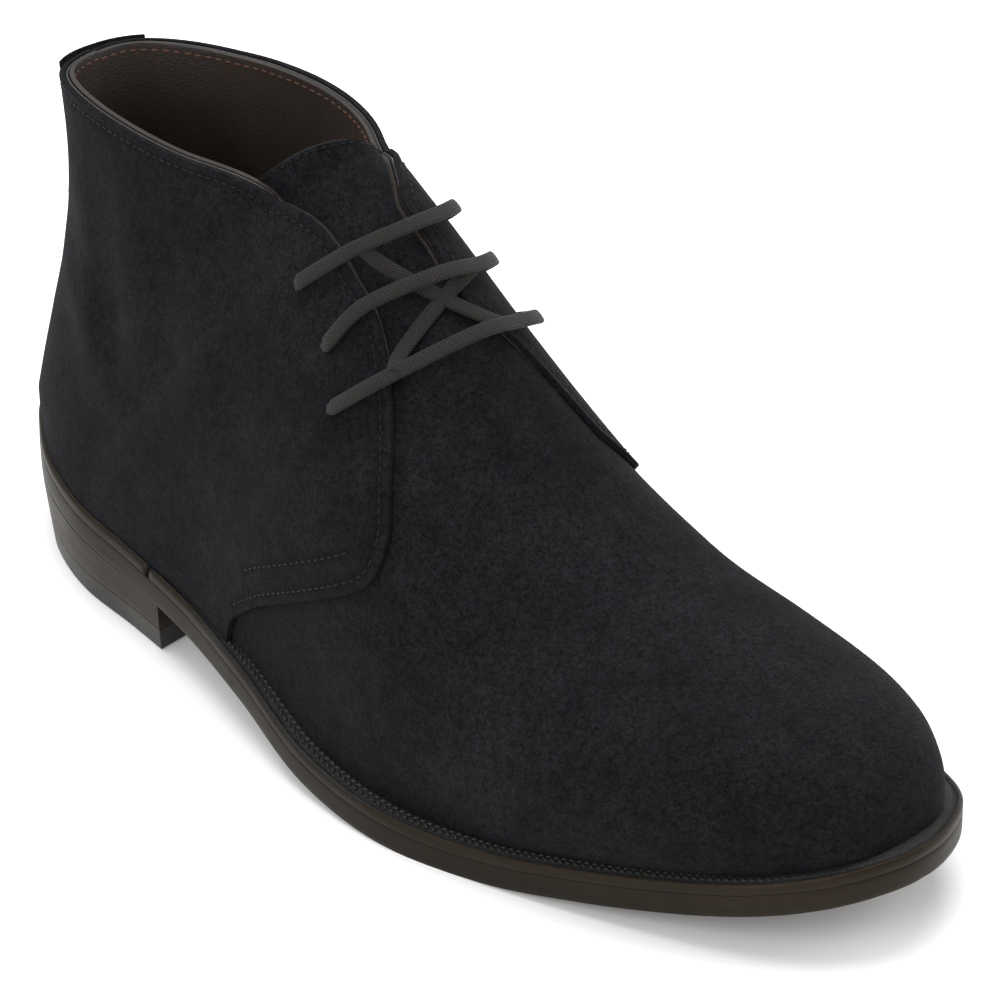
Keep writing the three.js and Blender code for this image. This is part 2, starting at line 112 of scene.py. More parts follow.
@dataclass(frozen=True)
class SoleForm:
    """The sole's outline and side profile.

    The stations are half widths to the outer and inner side and the height of the welt's top, at
    places evenly spaced in angle from heel to toe.
    """

    length: float = 303.0
    edge: float = 9.3
    welt_thick: float = 3.0
    stations: np.ndarray = field(
        default_factory=lambda: rows(
            (0, 0, 32), (11.2, 12.8, 31.5), (20, 19.5, 30.4), (29.6, 26.4, 28.8), (36.6, 32, 26.7),
            (40, 33.4, 24.6), (45, 32, 22.7), (53, 32, 19.9), (60, 35.6, 12.4), (61.8, 44, 9.3),
            (56.4, 49.6, 9.3), (49.2, 48.2, 12.9), (41.4, 43.8, 17.1), (33.5, 36.3, 21.5),
            (24, 26.6, 25.5), (12.4, 13.2, 28.3), (0, 0, 29.2),
        )
    )

    def station(self, share: np.ndarray) -> np.ndarray:
        """The table's row at a share of the length, 0 at the heel and 1 at the toe."""
        angle = np.arccos(1 - 2 * np.clip(np.asarray(share, float), 0, 1))
        return along(self.stations, angle / math.pi * (len(self.stations) - 1))

    def width(self, side: Side, share: np.ndarray) -> np.ndarray:
        """Half width to one side at a share of the length."""
        return np.maximum(self.station(share)[..., 0 if side is Side.OUTER else 1], 0)

    def top(self, s: np.ndarray) -> np.ndarray:
        """Height of the welt's top."""
        return self.station(np.asarray(s, float) / self.length)[..., 2]

    def floor(self, s: np.ndarray) -> np.ndarray:
        """Height of the outsole's underside."""
        return np.maximum(self.top(s) - self.edge, 0)

    @property
    def middle(self) -> float:
        """How far the heel-toe line stands off the row's X = 0."""
        share = np.linspace(0, 1, 201)
        return float(self.width(Side.OUTER, share).max() - self.width(Side.INNER, share).max()) / 2

    def place(self, x: np.ndarray, s: np.ndarray, z: np.ndarray) -> np.ndarray:
        """Points of the row frame, in metres, from side, length and height in millimetres."""
        x, s, z = np.broadcast_arrays(np.asarray(x, float), np.asarray(s, float), np.asarray(z, float))
        return np.stack([x + self.middle, self.length / 2 - s, z], axis=-1) * MM

    def outline(self, half: int = 150) -> np.ndarray:
        """The sole's edge as (x, s) points, round from the heel's back by the outer side.

        Args:
            half: Steps along each side.

        Returns:
            An array of 2 * half points; the last one is a step before the first.
        """
        angle = np.linspace(0, math.pi, half + 1)
        share = (1 - np.cos(angle)) / 2
        outer = np.stack([-self.width(Side.OUTER, share), share * self.length], axis=1)
        inner = np.stack([self.width(Side.INNER, share), share * self.length], axis=1)
        return np.vstack([outer, inner[-2:0:-1]])


def inset_ring(ring: np.ndarray, distance: float) -> np.ndarray:
    """A closed (x, s) ring moved inwards by a distance.

    Args:
        ring: Points (x, s) in order, with the inside on their right, in millimetres.
        distance: How far to move them, in millimetres.

    Returns:
        The moved points.
    """
    tangent = np.roll(ring, -1, axis=0) - np.roll(ring, 1, axis=0)
    tangent /= np.maximum(np.linalg.norm(tangent, axis=1, keepdims=True), 1e-9)
    inward = np.stack([tangent[:, 1], -tangent[:, 0]], axis=1)
    return ring + inward * distance


class Last:
    """The form that the upper is pulled over, as a smooth surface of (t, v, side).

    t is the section's row in the table, from the toe's upright arches to the collar's level ring, and
    v runs from the foot of a section (0) to its ridge (1) on either side.
    """

    # foot backS backZ ridgeS ridgeZ ridgeX outWide inWide rise roundTop roundFoot
    SECTIONS = rows(
        (1, 0, 0, 298, 29.2, 0, 0, 0, 0.3, 2.2, 2.4),
        (0.9975, 0, 0, 297.2, 35.5, 0, 8, 7.8, 0.3, 2.2, 2.4),
        (0.99, 0, 0, 295, 42, -0.2, 15, 14.4, 0.3, 2.2, 2.4),
        (0.978, 0, 0, 290.6, 47, -0.5, 20.6, 20, 0.3, 2.2, 2.4),
        (0.955, 0, 0, 283.4, 50.6, -0.9, 26, 26, 0.3, 2.3, 2.4),
        (0.92, 0, 0, 272.8, 53.2, -1.6, 33, 33, 0.28, 2.4, 2.4),
        (0.86, 0, 0, 255.6, 55.4, -3, 41.2, 41, 0.26, 2.4, 2.4),
        (0.77, 0, 0, 230.2, 60, -5, 49.6, 47, 0.24, 2.3, 2.4),
        (0.66, 0, 0, 207, 71, -6.5, 54.6, 46.4, 0.22, 2.13, 2.4),
        (0.53, 0, 0, 183.6, 93.4, -7, 52.8, 40.6, 0.22, 2.02, 2.4),
        (0.39, 0, 0, 159.7, 115.4, -6.5, 43.4, 36.2, 0.25, 1.9, 2.4),
        (0.26, 0, 0, 141.3, 130.6, -6, 37.2, 35.2, 0.32, 1.84, 2.4),
        (0.15, 0, 0, 130.1, 138.6, -5.5, 33, 34.4, 0.38, 1.8, 2.4),
        (0.07, 0, 0, 123.6, 143, -5, 30.2, 32.6, 0.42, 1.82, 2.4),
        (0.02, 0, 0, 120.3, 145.4, -4.5, 27.9, 31.6, 0.45, 1.86, 2.4),
        (0, 3, 32, 118.6, 146.7, -4.2, 26.6, 31.2, 0.46, 1.88, 2.4),
        (0, 5.6, 45, 117.4, 148.5, -4, 26.1, 31.1, 0.47, 1.92, 2.35),
        (0, 9.6, 62, 116.4, 151, -3.6, 25.7, 31.1, 0.48, 1.98, 2.3),
        (0, 14.6, 84, 115.7, 153.8, -3.2, 25.2, 30.8, 0.49, 2, 2.25),
        (0, 17.4, 108, 115.3, 156.8, -3, 25, 30.4, 0.5, 2.05, 2.4),
        (0, 15.6, 130, 115.2, 160, -3, 25, 29.8, 0.5, 2.05, 2.45),
        (0, 11, 150, 115.5, 164, -3, 25, 29.4, 0.5, 2.05, 2.45),
    )
    SEAT = 15  # the row whose feet meet at the back of the heel
    HEEL_INSET = 3.0
    TOE_INSET = 5.0
    STEPS = 16  # grid rows for each section
    HALF = 64  # grid columns from foot to ridge

    def __init__(self, sole: SoleForm) -> None:
        """Works out the surface's grid of points and normals.

        Args:
            sole: The sole that the last stands on.
        """
        self.sole = sole
        self.top_row = len(self.SECTIONS) - 1
        self.t = np.arange(self.top_row * self.STEPS + 1) / self.STEPS
        self.back, self.ridge = self._spines()
        halves = [self._half(side) for side in Side]
        outer, inner = halves
        self.xsz = np.concatenate([outer, inner[:, -2::-1]], axis=1)
        self.points = sole.place(self.xsz[..., 0], self.xsz[..., 1], self.xsz[..., 2])
        self.normals = self._normals()
        tree_points = self.points.reshape(-1, 3)
        self.tree = KDTree(len(tree_points))
        for i, p in enumerate(tree_points):
            self.tree.insert(p, i)
        self.tree.balance()

    def _feather(self, share: np.ndarray) -> tuple[np.ndarray, np.ndarray, np.ndarray, np.ndarray]:
        """The line where the upper meets the welt: length, height, outer and inner half width.

        Args:
            share: Places along the sole, from 0 at its back edge to 1 at its front.

        Returns:
            Lengths, heights, and outer and inner half widths, in millimetres.
        """
        inset = 0.93 - 0.02 * np.clip((share - 0.1) / 0.4, 0, 1)
        s = self.HEEL_INSET + share * (self.sole.length - self.HEEL_INSET - self.TOE_INSET)
        wide = [self.sole.width(side, share) * inset for side in Side]
        return s, self.sole.top(s), wide[0], wide[1]

    def _spines(self) -> tuple[np.ndarray, np.ndarray]:
        """The (s, z) curves that the sections stand on and rise to.

        Returns:
            The feet and the ridge of the sections.
        """
        at = along(self.SECTIONS, self.t)
        leg = along(self.SECTIONS[self.SEAT :], np.maximum(self.t - self.SEAT, 0))
        self.on_sole = self.t <= self.SEAT
        self.share = np.where(self.on_sole, np.clip(at[:, 0], 0, 1), 0)
        s, z, _, _ = self._feather(self.share)
        back = np.where(self.on_sole[:, None], np.stack([s, z], 1), leg[:, 1:3])
        ridge = at[:, 3:5].copy()
        ridge[0] = back[0]
        return back, ridge

    def _half(self, side: Side) -> np.ndarray:
        """One side's (x, s, z) points, evenly spaced from foot to ridge in each section.

        Args:
            side: Which side of the foot.

        Returns:
            A grid of (x, s, z) in millimetres.
        """
        at = along(self.SECTIONS, self.t)
        _, _, *feet = self._feather(self.share)
        foot = np.where(self.on_sole, feet[0 if side is Side.OUTER else 1], 0)
        wide = at[:, 6 if side is Side.OUTER else 7].copy()
        wide[0] = 0
        wide = np.maximum(wide, foot + 0.02)
        height = np.linalg.norm(self.ridge - self.back, axis=1)
        low, high = np.linspace(1, 0, 41), np.linspace(0, 1, 121)[1:]
        grid = np.empty((len(self.t), self.HALF + 1, 3))
        for i in range(len(self.t)):
            rise, round_top, round_foot = at[i, 8:11]
            tuck = max(1 - (foot[i] / wide[i]) ** round_foot, 0) ** (1 / round_foot)
            angle = math.asin(min(tuck ** (round_foot / 2), 1)) * low
            share = np.sin(angle) ** (2 / round_foot) / tuck if tuck > 1e-6 else low
            turn = math.pi / 2 * high
            lower = np.cos(angle) ** (2 / round_foot)
            upper = np.maximum(np.cos(turn), 0) ** (2 / round_top)
            x = np.concatenate([lower, upper])
            u = np.concatenate([rise * (1 - share), rise + (1 - rise) * np.sin(turn) ** (2 / round_top)])
            x[-1] = 0
            flat = np.stack([x * wide[i], u * height[i]], axis=1)
            run = lengths(flat)
            even = resample(flat, run, np.linspace(0, run[-1], self.HALF + 1))
            u = even[:, 1] / height[i] if height[i] > 0 else np.zeros(self.HALF + 1)
            grid[i, :, 0] = side.value * even[:, 0] + at[i, 5] * u
            grid[i, :, 1:] = self.back[i] + (self.ridge[i] - self.back[i]) * u[:, None]
        return grid

    def _normals(self) -> np.ndarray:
        """Outward unit normals of the grid, level along the feather line.

        Returns:
            A grid of unit vectors.
        """
        down = np.gradient(self.points, axis=0)
        across = np.gradient(self.points, axis=1)
        normal = np.cross(across, down)
        seat = self.SEAT * self.STEPS
        seam = normal[seat:, 0] + normal[seat:, -1]
        normal[seat:, 0] = normal[seat:, -1] = seam
        normal[: seat + 1, [0, -1], 2] = 0
        size = np.linalg.norm(normal, axis=2, keepdims=True)
        normal = np.where(size > 1e-12, normal / np.maximum(size, 1e-12), [0, -1, 0])
        normal[0] = [0, -1, 0]
        if normal[len(self.t) // 2, self.HALF, 2] < 0:
            normal = -normal
            normal[0] = [0, -1, 0]
        return normal

    def _sample(self, grid: np.ndarray, t: np.ndarray, column: np.ndarray) -> np.ndarray:
        """Bicubic values of a grid at fractional rows and columns.

        Args:
            grid: Values at whole rows and columns.
            t: Fractional rows.
            column: Fractional columns.

        Returns:
            The values there.
        """
        t, column = np.broadcast_arrays(np.asarray(t, float), np.asarray(column, float))
        r = np.clip(t, 0, self.top_row) * self.STEPS
        c = np.clip(column, 0, 2 * self.HALF)
        i = np.clip(np.floor(r).astype(int), 0, grid.shape[0] - 2)
        j = np.clip(np.floor(c).astype(int), 0, grid.shape[1] - 2)

        def weights(u: np.ndarray) -> list[np.ndarray]:
            """The four Catmull-Rom weights.

            Args:
                u: Places between the second and third of four values, from 0 to 1.

            Returns:
                One weight for each of the four values.
            """
            return [
                0.5 * (-u + 2 * u**2 - u**3),
                0.5 * (2 - 5 * u**2 + 3 * u**3),
                0.5 * (u + 4 * u**2 - 3 * u**3),
                0.5 * (u**3 - u**2),
            ]

        total = 0.0
        for a, wa in enumerate(weights(r - i)):
            line = 0.0
            for b, wb in enumerate(weights(c - j)):
                ia = np.clip(i + a - 1, 0, grid.shape[0] - 1)
                jb = np.clip(j + b - 1, 0, grid.shape[1] - 1)
                line = line + grid[ia, jb] * wb[..., None]
            total = total + line * wa[..., None]
        return total

    def column(self, side: Side, v: np.ndarray) -> np.ndarray:
        """The grid column of a place between foot (0) and ridge (1)."""
        v = np.asarray(v, float) * self.HALF
        return v if side is Side.OUTER else 2 * self.HALF - v

    def flat(self, side: Side, t: np.ndarray, v: np.ndarray) -> np.ndarray:
        """Side, length and height in millimetres at (t, v)."""
        return self._sample(self.xsz, t, self.column(side, v))

    def point(self, side: Side, t: np.ndarray, v: np.ndarray, out: np.ndarray | float = 0) -> np.ndarray:
        """Points in metres at (t, v), moved out along the normal.

        Args:
            side: The side.
            t: Section rows.
            v: Places from foot to ridge.
            out: Distance outwards in millimetres.

        Returns:
            Points of the row frame.
        """
        return self.lift(t, self.column(side, v), out)

    def lift(self, t: np.ndarray, column: np.ndarray, out: np.ndarray | float = 0) -> np.ndarray:
        """Points in metres at a row and a grid column, moved out by millimetres."""
        out = np.asarray(out, float)[..., None]
        return self._sample(self.points, t, column) + self.normal(t, column) * out * MM

    def normal(self, t: np.ndarray, column: np.ndarray) -> np.ndarray:
        """Unit outward normals at a row and a grid column."""
        n = self._sample(self.normals, t, column)
        return n / np.maximum(np.linalg.norm(n, axis=-1, keepdims=True), 1e-9)

    def nearest_normal(self, point: np.ndarray) -> np.ndarray:
        """The normal of the surface nearest to a point."""
        _, i, _ = self.tree.find(point)
        return self.normals.reshape(-1, 3)[i]

    def locate(self, side: Side, s: float, z: float) -> tuple[float, float]:
        """Where a point seen from the side lies on the surface.

        Args:
            side: The side that is looked at.
            s: Length.
            z: Height.

        Returns:
            Its (t, v).
        """
        p = np.array([s, z])
        arm, reach = self.ridge - self.back, p - self.back
        cross = arm[:, 0] * reach[:, 1] - arm[:, 1] * reach[:, 0]
        turns = np.flatnonzero((cross[1:-1] < 0) != (cross[2:] < 0)) + 1
        best = (0.0, 0.0, 1e9)
        for i in turns:
            f = cross[i] / (cross[i] - cross[i + 1])
            t = self.t[i] + f / self.STEPS
            a = arm[i] + (arm[i + 1] - arm[i]) * f
            u = float(np.dot(p - self.back[i] - (self.back[i + 1] - self.back[i]) * f, a) / np.dot(a, a))
            miss = max(-u, u - 1, 0)
            if miss < best[2]:
                best = (float(t), u, miss)
        t, u, _ = best
        line = self.flat(side, np.full(self.HALF + 1, t), np.linspace(0, 1, self.HALF + 1))
        back, ridge = line[0, 1:], line[-1, 1:]
        share = (line[:, 1:] - back) @ (ridge - back) / np.dot(ridge - back, ridge - back)
        return t, float(np.interp(u, share, np.linspace(0, 1, self.HALF + 1)))

    def under(self, side: Side, v: float, height: Heights, low: float = 13.0) -> float:
        """The row where a column reaches a level line seen from the side.

        Args:
            side: The side.
            v: The column.
            height: The line's height as a function of the length.
            low: The row to start from.

        Returns:
            The row t.
        """
        t = np.linspace(low, self.top_row, 400)
        line = self.flat(side, t, np.full_like(t, v))
        above = line[:, 2] - height(line[:, 1])
        i = int(np.argmax(above > 0)) if (above > 0).any() else len(t) - 1
        if i == 0:
            return float(t[0])
        f = above[i - 1] / (above[i - 1] - above[i])
        return float(t[i - 1] + (t[i] - t[i - 1]) * f)

    def walk(self, side: Side, path: np.ndarray, inward: float, steps: int = 4) -> np.ndarray:
        """A (t, v) path moved sideways over the surface.

        Args:
            side: The side.
            path: Rows of (t, v) in order.
            inward: Millimetres to the left of the path's direction as seen from outside.
            steps: How many small moves the distance is divided into.

        Returns:
            The moved path.
        """
        path = path.copy()
        small = 1e-3
        for _ in range(steps):
            t, v = path[:, 0], path[:, 1]
            here = self.point(side, t, v)
            tangent = np.gradient(here, axis=0)
            tangent /= np.maximum(np.linalg.norm(tangent, axis=1, keepdims=True), 1e-12)
            move = np.cross(self.normal(t, self.column(side, v)), tangent) * (inward / steps * MM)
            dt = (self.point(side, t + small, v) - self.point(side, t - small, v)) / (2 * small)
            dv = (self.point(side, t, v + small) - self.point(side, t, v - small)) / (2 * small)
            tt, tv, vv = (dt * dt).sum(1), (dt * dv).sum(1), (dv * dv).sum(1)
            rt, rv = (dt * move).sum(1), (dv * move).sum(1)
            bottom = np.maximum(tt * vv - tv * tv, 1e-16)
            path[:, 0] += np.clip((rt * vv - rv * tv) / bottom, -0.5, 0.5)
            path[:, 1] += np.clip((rv * tt - rt * tv) / bottom, -0.1, 0.1)
            path[:, 1] = np.clip(path[:, 1], 0, 1)
        return path


# ---------------------------------------------------------------- mesh helpers


def grid_mesh(points: np.ndarray, weld: float = 2e-6) -> bmesh.types.BMesh:
    """A sheet of quads laid through an array of points, with UVs in metres.

    Args:
        points: Rows of columns of points; the first and last of either may coincide.
        weld: Points closer than this become one.

    Returns:
        The bmesh. Its faces look along the cross product of the columns' and the rows' direction.
    """
    count_r, count_c = points.shape[:2]
    along_rows = lengths(points[:, count_c // 2])
    along_columns = lengths(points[count_r // 2])
    bm = bmesh.new()
    layer = bm.loops.layers.uv.new("UVMap")
    bmesh.ops.create_grid(bm, x_segments=count_c - 1, y_segments=count_r - 1, size=1.0)
    places = {}
    for vert in bm.verts:
        c = round((vert.co.x + 1) / 2 * (count_c - 1))
        r = round((vert.co.y + 1) / 2 * (count_r - 1))
        places[vert] = (r, c)
    for face in bm.faces:
        for loop in face.loops:
            r, c = places[loop.vert]
            loop[layer].uv = (along_columns[c], along_rows[r])
    for vert, (r, c) in places.items():
        vert.co = points[r, c]
    bmesh.ops.remove_doubles(bm, verts=bm.verts[:], dist=weld)
    bmesh.ops.dissolve_degenerate(bm, edges=bm.edges[:], dist=weld / 2)
    return bm


def close_ends(bm: bmesh.types.BMesh) -> None:
    """Closes the open rims of a swept mesh and turns all its faces outwards.

    Args:
        bm: The mesh, changed in place.
    """
    rim = [e for e in bm.edges if e.is_boundary]
    if rim:
        bmesh.ops.holes_fill(bm, edges=rim, sides=0)
    bmesh.ops.recalc_face_normals(bm, faces=bm.faces[:])


def face_out(bm: bmesh.types.BMesh, outward: Callable[[Vector], Vector]) -> None:
    """Turns a sheet so that most of its faces look outwards.

    Args:
        bm: The sheet.
        outward: The outward direction near a point.
    """
    bm.normal_update()
    votes = sum(f.normal.dot(outward(f.calc_center_median())) * f.calc_area() for f in bm.faces)
    if votes < 0:
        bmesh.ops.reverse_faces(bm, faces=bm.faces[:])


def finish_piece(
    bm: bmesh.types.BMesh,
    name: str,
    materials: Sequence[bpy.types.Material],
    replaces: Sequence[str] = (),
) -> bpy.types.Object:
    """Makes a bmesh a piece of the boot.

    Args:
        bm: The mesh, in place; it is freed.
        name: The piece's name.
        materials: Its materials in slot order.
        replaces: CAD nodes that it stands for.

    Returns:
        The object.
    """
    mesh = bpy.data.meshes.new(name)
    bm.to_mesh(mesh)
    bm.free()
    mesh.polygons.foreach_set("use_smooth", [True] * len(mesh.polygons))
    piece = bpy.data.objects.new(name, mesh)
    bpy.context.scene.collection.objects.link(piece)
    for material in materials:
        mesh.materials.append(material)
    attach(piece, BODY)
    if replaces:
        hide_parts(*replaces)
    log.info("%s: %d faces", name, len(mesh.polygons))
    return piece


def thicken(piece: bpy.types.Object, thickness: float, bevel: float, inner: int = 0, rim: int = 0) -> None:
    """Gives a sheet its thickness and rounds its cut edge.

    Args:
        piece: The sheet, facing outwards.
        thickness: Millimetres inwards.
        bevel: Radius of the rounding in millimetres.
        inner: Material offset of the inner face.
        rim: Material offset of the cut edge.
    """
    solid = piece.modifiers.new("thickness", "SOLIDIFY")
    solid.thickness = thickness * MM
    solid.offset = -1
    solid.use_even_offset = False
    solid.material_offset = inner
    solid.material_offset_rim = rim
    soft = piece.modifiers.new("rounded_edge", "BEVEL")
    soft.width = bevel * MM
    soft.segments = 3
    soft.limit_method = "ANGLE"
    soft.angle_limit = math.radians(55)
    soft.harden_normals = False


def swept(
    ring: Sequence[tuple[float, float]],
    centres: np.ndarray,
    across: np.ndarray,
    out: np.ndarray,
) -> np.ndarray:
    """Points of a closed section carried along a path.

    Args:
        ring: The section as (across, out) in metres.
        centres: The path's points.
        across: Unit vectors across the section.
        out: Unit vectors out of it.

    Returns:
        Rows of the section's points, with the first repeated at the end.
    """
    loop = np.array(list(ring) + [ring[0]])
    return centres[:, None] + across[:, None] * loop[None, :, :1] + out[:, None] * loop[None, :, 1:]


def rounded_bar(
    width: float, height: float, points: int = 12, fullness: float = 3.0
) -> list[tuple[float, float]]:
    """A rounded rectangle's outline, as (across, out) in the sizes' own units.

    Args:
        width: The size across.
        height: The size outwards.
        points: How many points go round.
        fullness: The exponent: 2 for an ellipse, more for squarer corners.

    Returns:
        The points in order.
    """
    power = 2 / fullness
    ring = []
    for k in range(points):
        angle = 2 * math.pi * (k + 0.5) / points
        c, s = math.cos(angle), math.sin(angle)
        across = width / 2 * math.copysign(abs(c) ** power, c)
        out = height / 2 * math.copysign(abs(s) ** power, s)
        ring.append((across, out))
    return ring


def spaced(path: np.ndarray, pitch: float) -> tuple[np.ndarray, np.ndarray]:
    """Places at even steps along a 3-D path.

    Args:
        path: The points.
        pitch: The wanted step.

    Returns:
        The points and the unit directions there.
    """
    run = lengths(path)
    count = max(int(run[-1] / pitch), 2)
    wanted = (np.arange(count) + 0.5) * run[-1] / count
    here = resample(path, run, wanted)
    ahead = resample(path, run, np.clip(wanted + pitch * 0.3, 0, run[-1]))
    behind = resample(path, run, np.clip(wanted - pitch * 0.3, 0, run[-1]))
    way = ahead - behind
    return here, way / np.maximum(np.linalg.norm(way, axis=1, keepdims=True), 1e-12)


@dataclass(frozen=True)
class Stitching:
    """A row of stitches: sizes in millimetres."""

    pitch: float = 2.6
    length: float = 2.0
    width: float = 0.55
    height: float = 0.4
    tilt: float = 0.0

    def sew(self, bm: bmesh.types.BMesh, path: np.ndarray, normals: Normals) -> None:
        """Adds a small rounded stitch at each step of a path.

        Args:
            bm: The mesh that takes them.
            path: Points in metres on the surface.
            normals: Gives the outward normal at a point.
        """
        points, ways = spaced(path, self.pitch * MM)
        for point, way in zip(points, ways):
            up = Vector(normals(point)).normalized()
            forward = Vector(way)
            forward = (forward - up * forward.dot(up)).normalized()
            forward = Matrix.Rotation(math.radians(self.tilt), 3, up) @ forward
            side = up.cross(forward)
            turn = Matrix((forward, side, up)).transposed().to_4x4()
            size = Matrix.Diagonal((self.length * MM / 2, self.width * MM / 2, self.height * MM / 2, 1))
            place = Matrix.Translation(Vector(point)) @ turn @ size
            bmesh.ops.create_uvsphere(bm, u_segments=8, v_segments=5, radius=1.0, matrix=place)


# ---------------------------------------------------------------- finishes


class Graph:
    """A short way to lay out a material's or group's nodes."""

    def __init__(self, tree: bpy.types.NodeTree) -> None:
        """Starts on an empty tree."""
        self.tree = tree
        tree.nodes.clear()

    def node(self, kind: str, settings: dict | None = None, **inputs: object) -> bpy.types.Node:
        """Adds a node.

        Args:
            kind: The node's type without its ShaderNode prefix.
            settings: Its own properties.
            **inputs: A value or an output socket for each input, with _ for spaces, or i and its number.

        Returns:
            The node.
        """
        node = self.tree.nodes.new("ShaderNode" + kind)
        for key, value in (settings or {}).items():
            setattr(node, key, value)
        for key, value in inputs.items():
            name = key.replace("_", " ")
            numbered = name[0] == "i" and name[1:].isdigit()
            self.feed(node.inputs[int(name[1:]) if numbered else name], value)
        return node

    def feed(self, socket: bpy.types.NodeSocket, value: object) -> None:
        """Links a socket or sets its value.

        Args:
            socket: The input socket.
            value: An output socket, or a plain value.
        """
        if isinstance(value, bpy.types.NodeSocket):
            self.tree.links.new(value, socket)
        else:
            socket.default_value = value

    def group(self, tree: bpy.types.NodeTree, **inputs: object) -> bpy.types.Node:
        """Places a node group with its own values.

        Args:
            tree: The node group.
            **inputs: A value or an output socket for each input, with _ for spaces.

        Returns:
            The group node.
        """
        node = self.tree.nodes.new("ShaderNodeGroup")
        node.node_tree = tree
        for key, value in inputs.items():
            self.feed(node.inputs[key.replace("_", " ")], value)
        return node

    def mix(self, factor: object, a: object, b: object) -> bpy.types.NodeSocket:
        """A colour between a and b.

        Args:
            factor: How much of b, from 0 to 1.
            a: The first colour.
            b: The second colour.

        Returns:
            The mixed colour.
        """
        node = self.tree.nodes.new("ShaderNodeMix")
        node.data_type = "RGBA"
        for socket, value in zip((node.inputs[0], node.inputs[6], node.inputs[7]), (factor, a, b)):
            self.feed(socket, value)
        return node.outputs[2]

    def ramp(
        self, value: object, low: float, high: float, to_low: float = 0.0, to_high: float = 1.0
    ) -> bpy.types.NodeSocket:
        """Maps a value from one range to another and stops at its ends.

        Args:
            value: The value to map.
            low: Where its range starts.
            high: Where its range ends.
            to_low: What the start becomes.
            to_high: What the end becomes.

        Returns:
            The mapped value.
        """
        node = self.node("MapRange", {"clamp": True})
        for k, v in enumerate((value, low, high, to_low, to_high)):
            self.feed(node.inputs[k], v)
        return node.outputs[0]

    def math(self, operation: str, a: object, b: object = 0.0) -> bpy.types.NodeSocket:
        """One arithmetic step.

        Args:
            operation: The math node's operation.
            a: The first value.
            b: The second value.

        Returns:
            The result.
        """
        node = self.node("Math", {"operation": operation})
        self.feed(node.inputs[0], a)
        self.feed(node.inputs[1], b)
        return node.outputs[0]


def new_group(
    name: str, inputs: dict[str, float], outputs: Sequence[str]
) -> tuple[bpy.types.NodeTree, Graph]:
    """A shader node group with named value sockets, and a Vector input.

    Args:
        name: The group's name.
        inputs: Default value of each input.
        outputs: Names of its value outputs.

    Returns:
        The group's tree and its graph, with group_in and group_out nodes set on the graph.
    """
    tree = bpy.data.node_groups.new(name, "ShaderNodeTree")
    face = tree.interface
    face.new_socket("Vector", in_out="INPUT", socket_type="NodeSocketVector")
    for key, value in inputs.items():
        face.new_socket(key, in_out="INPUT", socket_type="NodeSocketFloat").default_value = value
    for key in outputs:
        face.new_socket(key, in_out="OUTPUT", socket_type="NodeSocketFloat")
    graph = Graph(tree)
    graph.group_in = tree.nodes.new("NodeGroupInput")
    graph.group_out = tree.nodes.new("NodeGroupOutput")
    return tree, graph


def noise(
    graph: Graph, vector: object, scale: object, detail: float = 2.0, roughness: float = 0.5
) -> bpy.types.NodeSocket:
    """A noise texture's value."""
    settings = {"Vector": vector, "Scale": scale, "Detail": detail, "Roughness": roughness}
    return graph.node("TexNoise", None, **settings).outputs[0]


def nap_group() -> bpy.types.NodeTree:
    """Brushed nap: Tone is the lie of the fibres, Speck the fibre ends and Height their relief.

    Returns:
        The node group.
    """
    tree, g = new_group("nap", {"Brush Scale": 28.0, "Fibre Scale": 1500.0}, ("Tone", "Speck", "Height"))
    vector, brush, fibre = (g.group_in.outputs[k] for k in range(3))
    broad = noise(g, vector, brush, 3.0, 0.55)
    middling = noise(g, vector, g.math("MULTIPLY", brush, 6.5), 3.0, 0.6)
    tone = g.math("ADD", g.math("MULTIPLY", broad, 0.6), g.math("MULTIPLY", middling, 0.4))
    g.feed(g.group_out.inputs["Tone"], g.ramp(tone, 0.36, 0.64))
    fine = noise(g, vector, fibre, 2.0, 0.6)
    grainy = noise(g, vector, g.math("MULTIPLY", fibre, 0.42), 3.0, 0.65)
    speck = g.math("ADD", g.math("MULTIPLY", fine, 0.55), g.math("MULTIPLY", grainy, 0.45))
    g.feed(g.group_out.inputs["Speck"], g.ramp(speck, 0.36, 0.66))
    g.feed(g.group_out.inputs["Height"], speck)
    return tree


def grain_group() -> bpy.types.NodeTree:
    """Smooth leather: Tone is its uneven dye and Height the pores and fine wrinkles.

    Returns:
        The node group.
    """
    tree, g = new_group("leather_grain", {"Pore Scale": 900.0, "Stain Scale": 45.0}, ("Tone", "Height"))
    vector, pore, stain = (g.group_in.outputs[k] for k in range(3))
    g.feed(g.group_out.inputs["Tone"], g.ramp(noise(g, vector, stain, 4.0, 0.6), 0.3, 0.7))
    cells = g.node("TexVoronoi", {"feature": "DISTANCE_TO_EDGE"}, Vector=vector, Scale=pore).outputs[0]
    wrinkle = noise(g, vector, g.math("MULTIPLY", pore, 0.3), 3.0, 0.6)
    height = g.math("ADD", g.ramp(cells, 0.0, 0.25), g.math("MULTIPLY", wrinkle, 0.8))
    g.feed(g.group_out.inputs["Height"], height)
    return tree


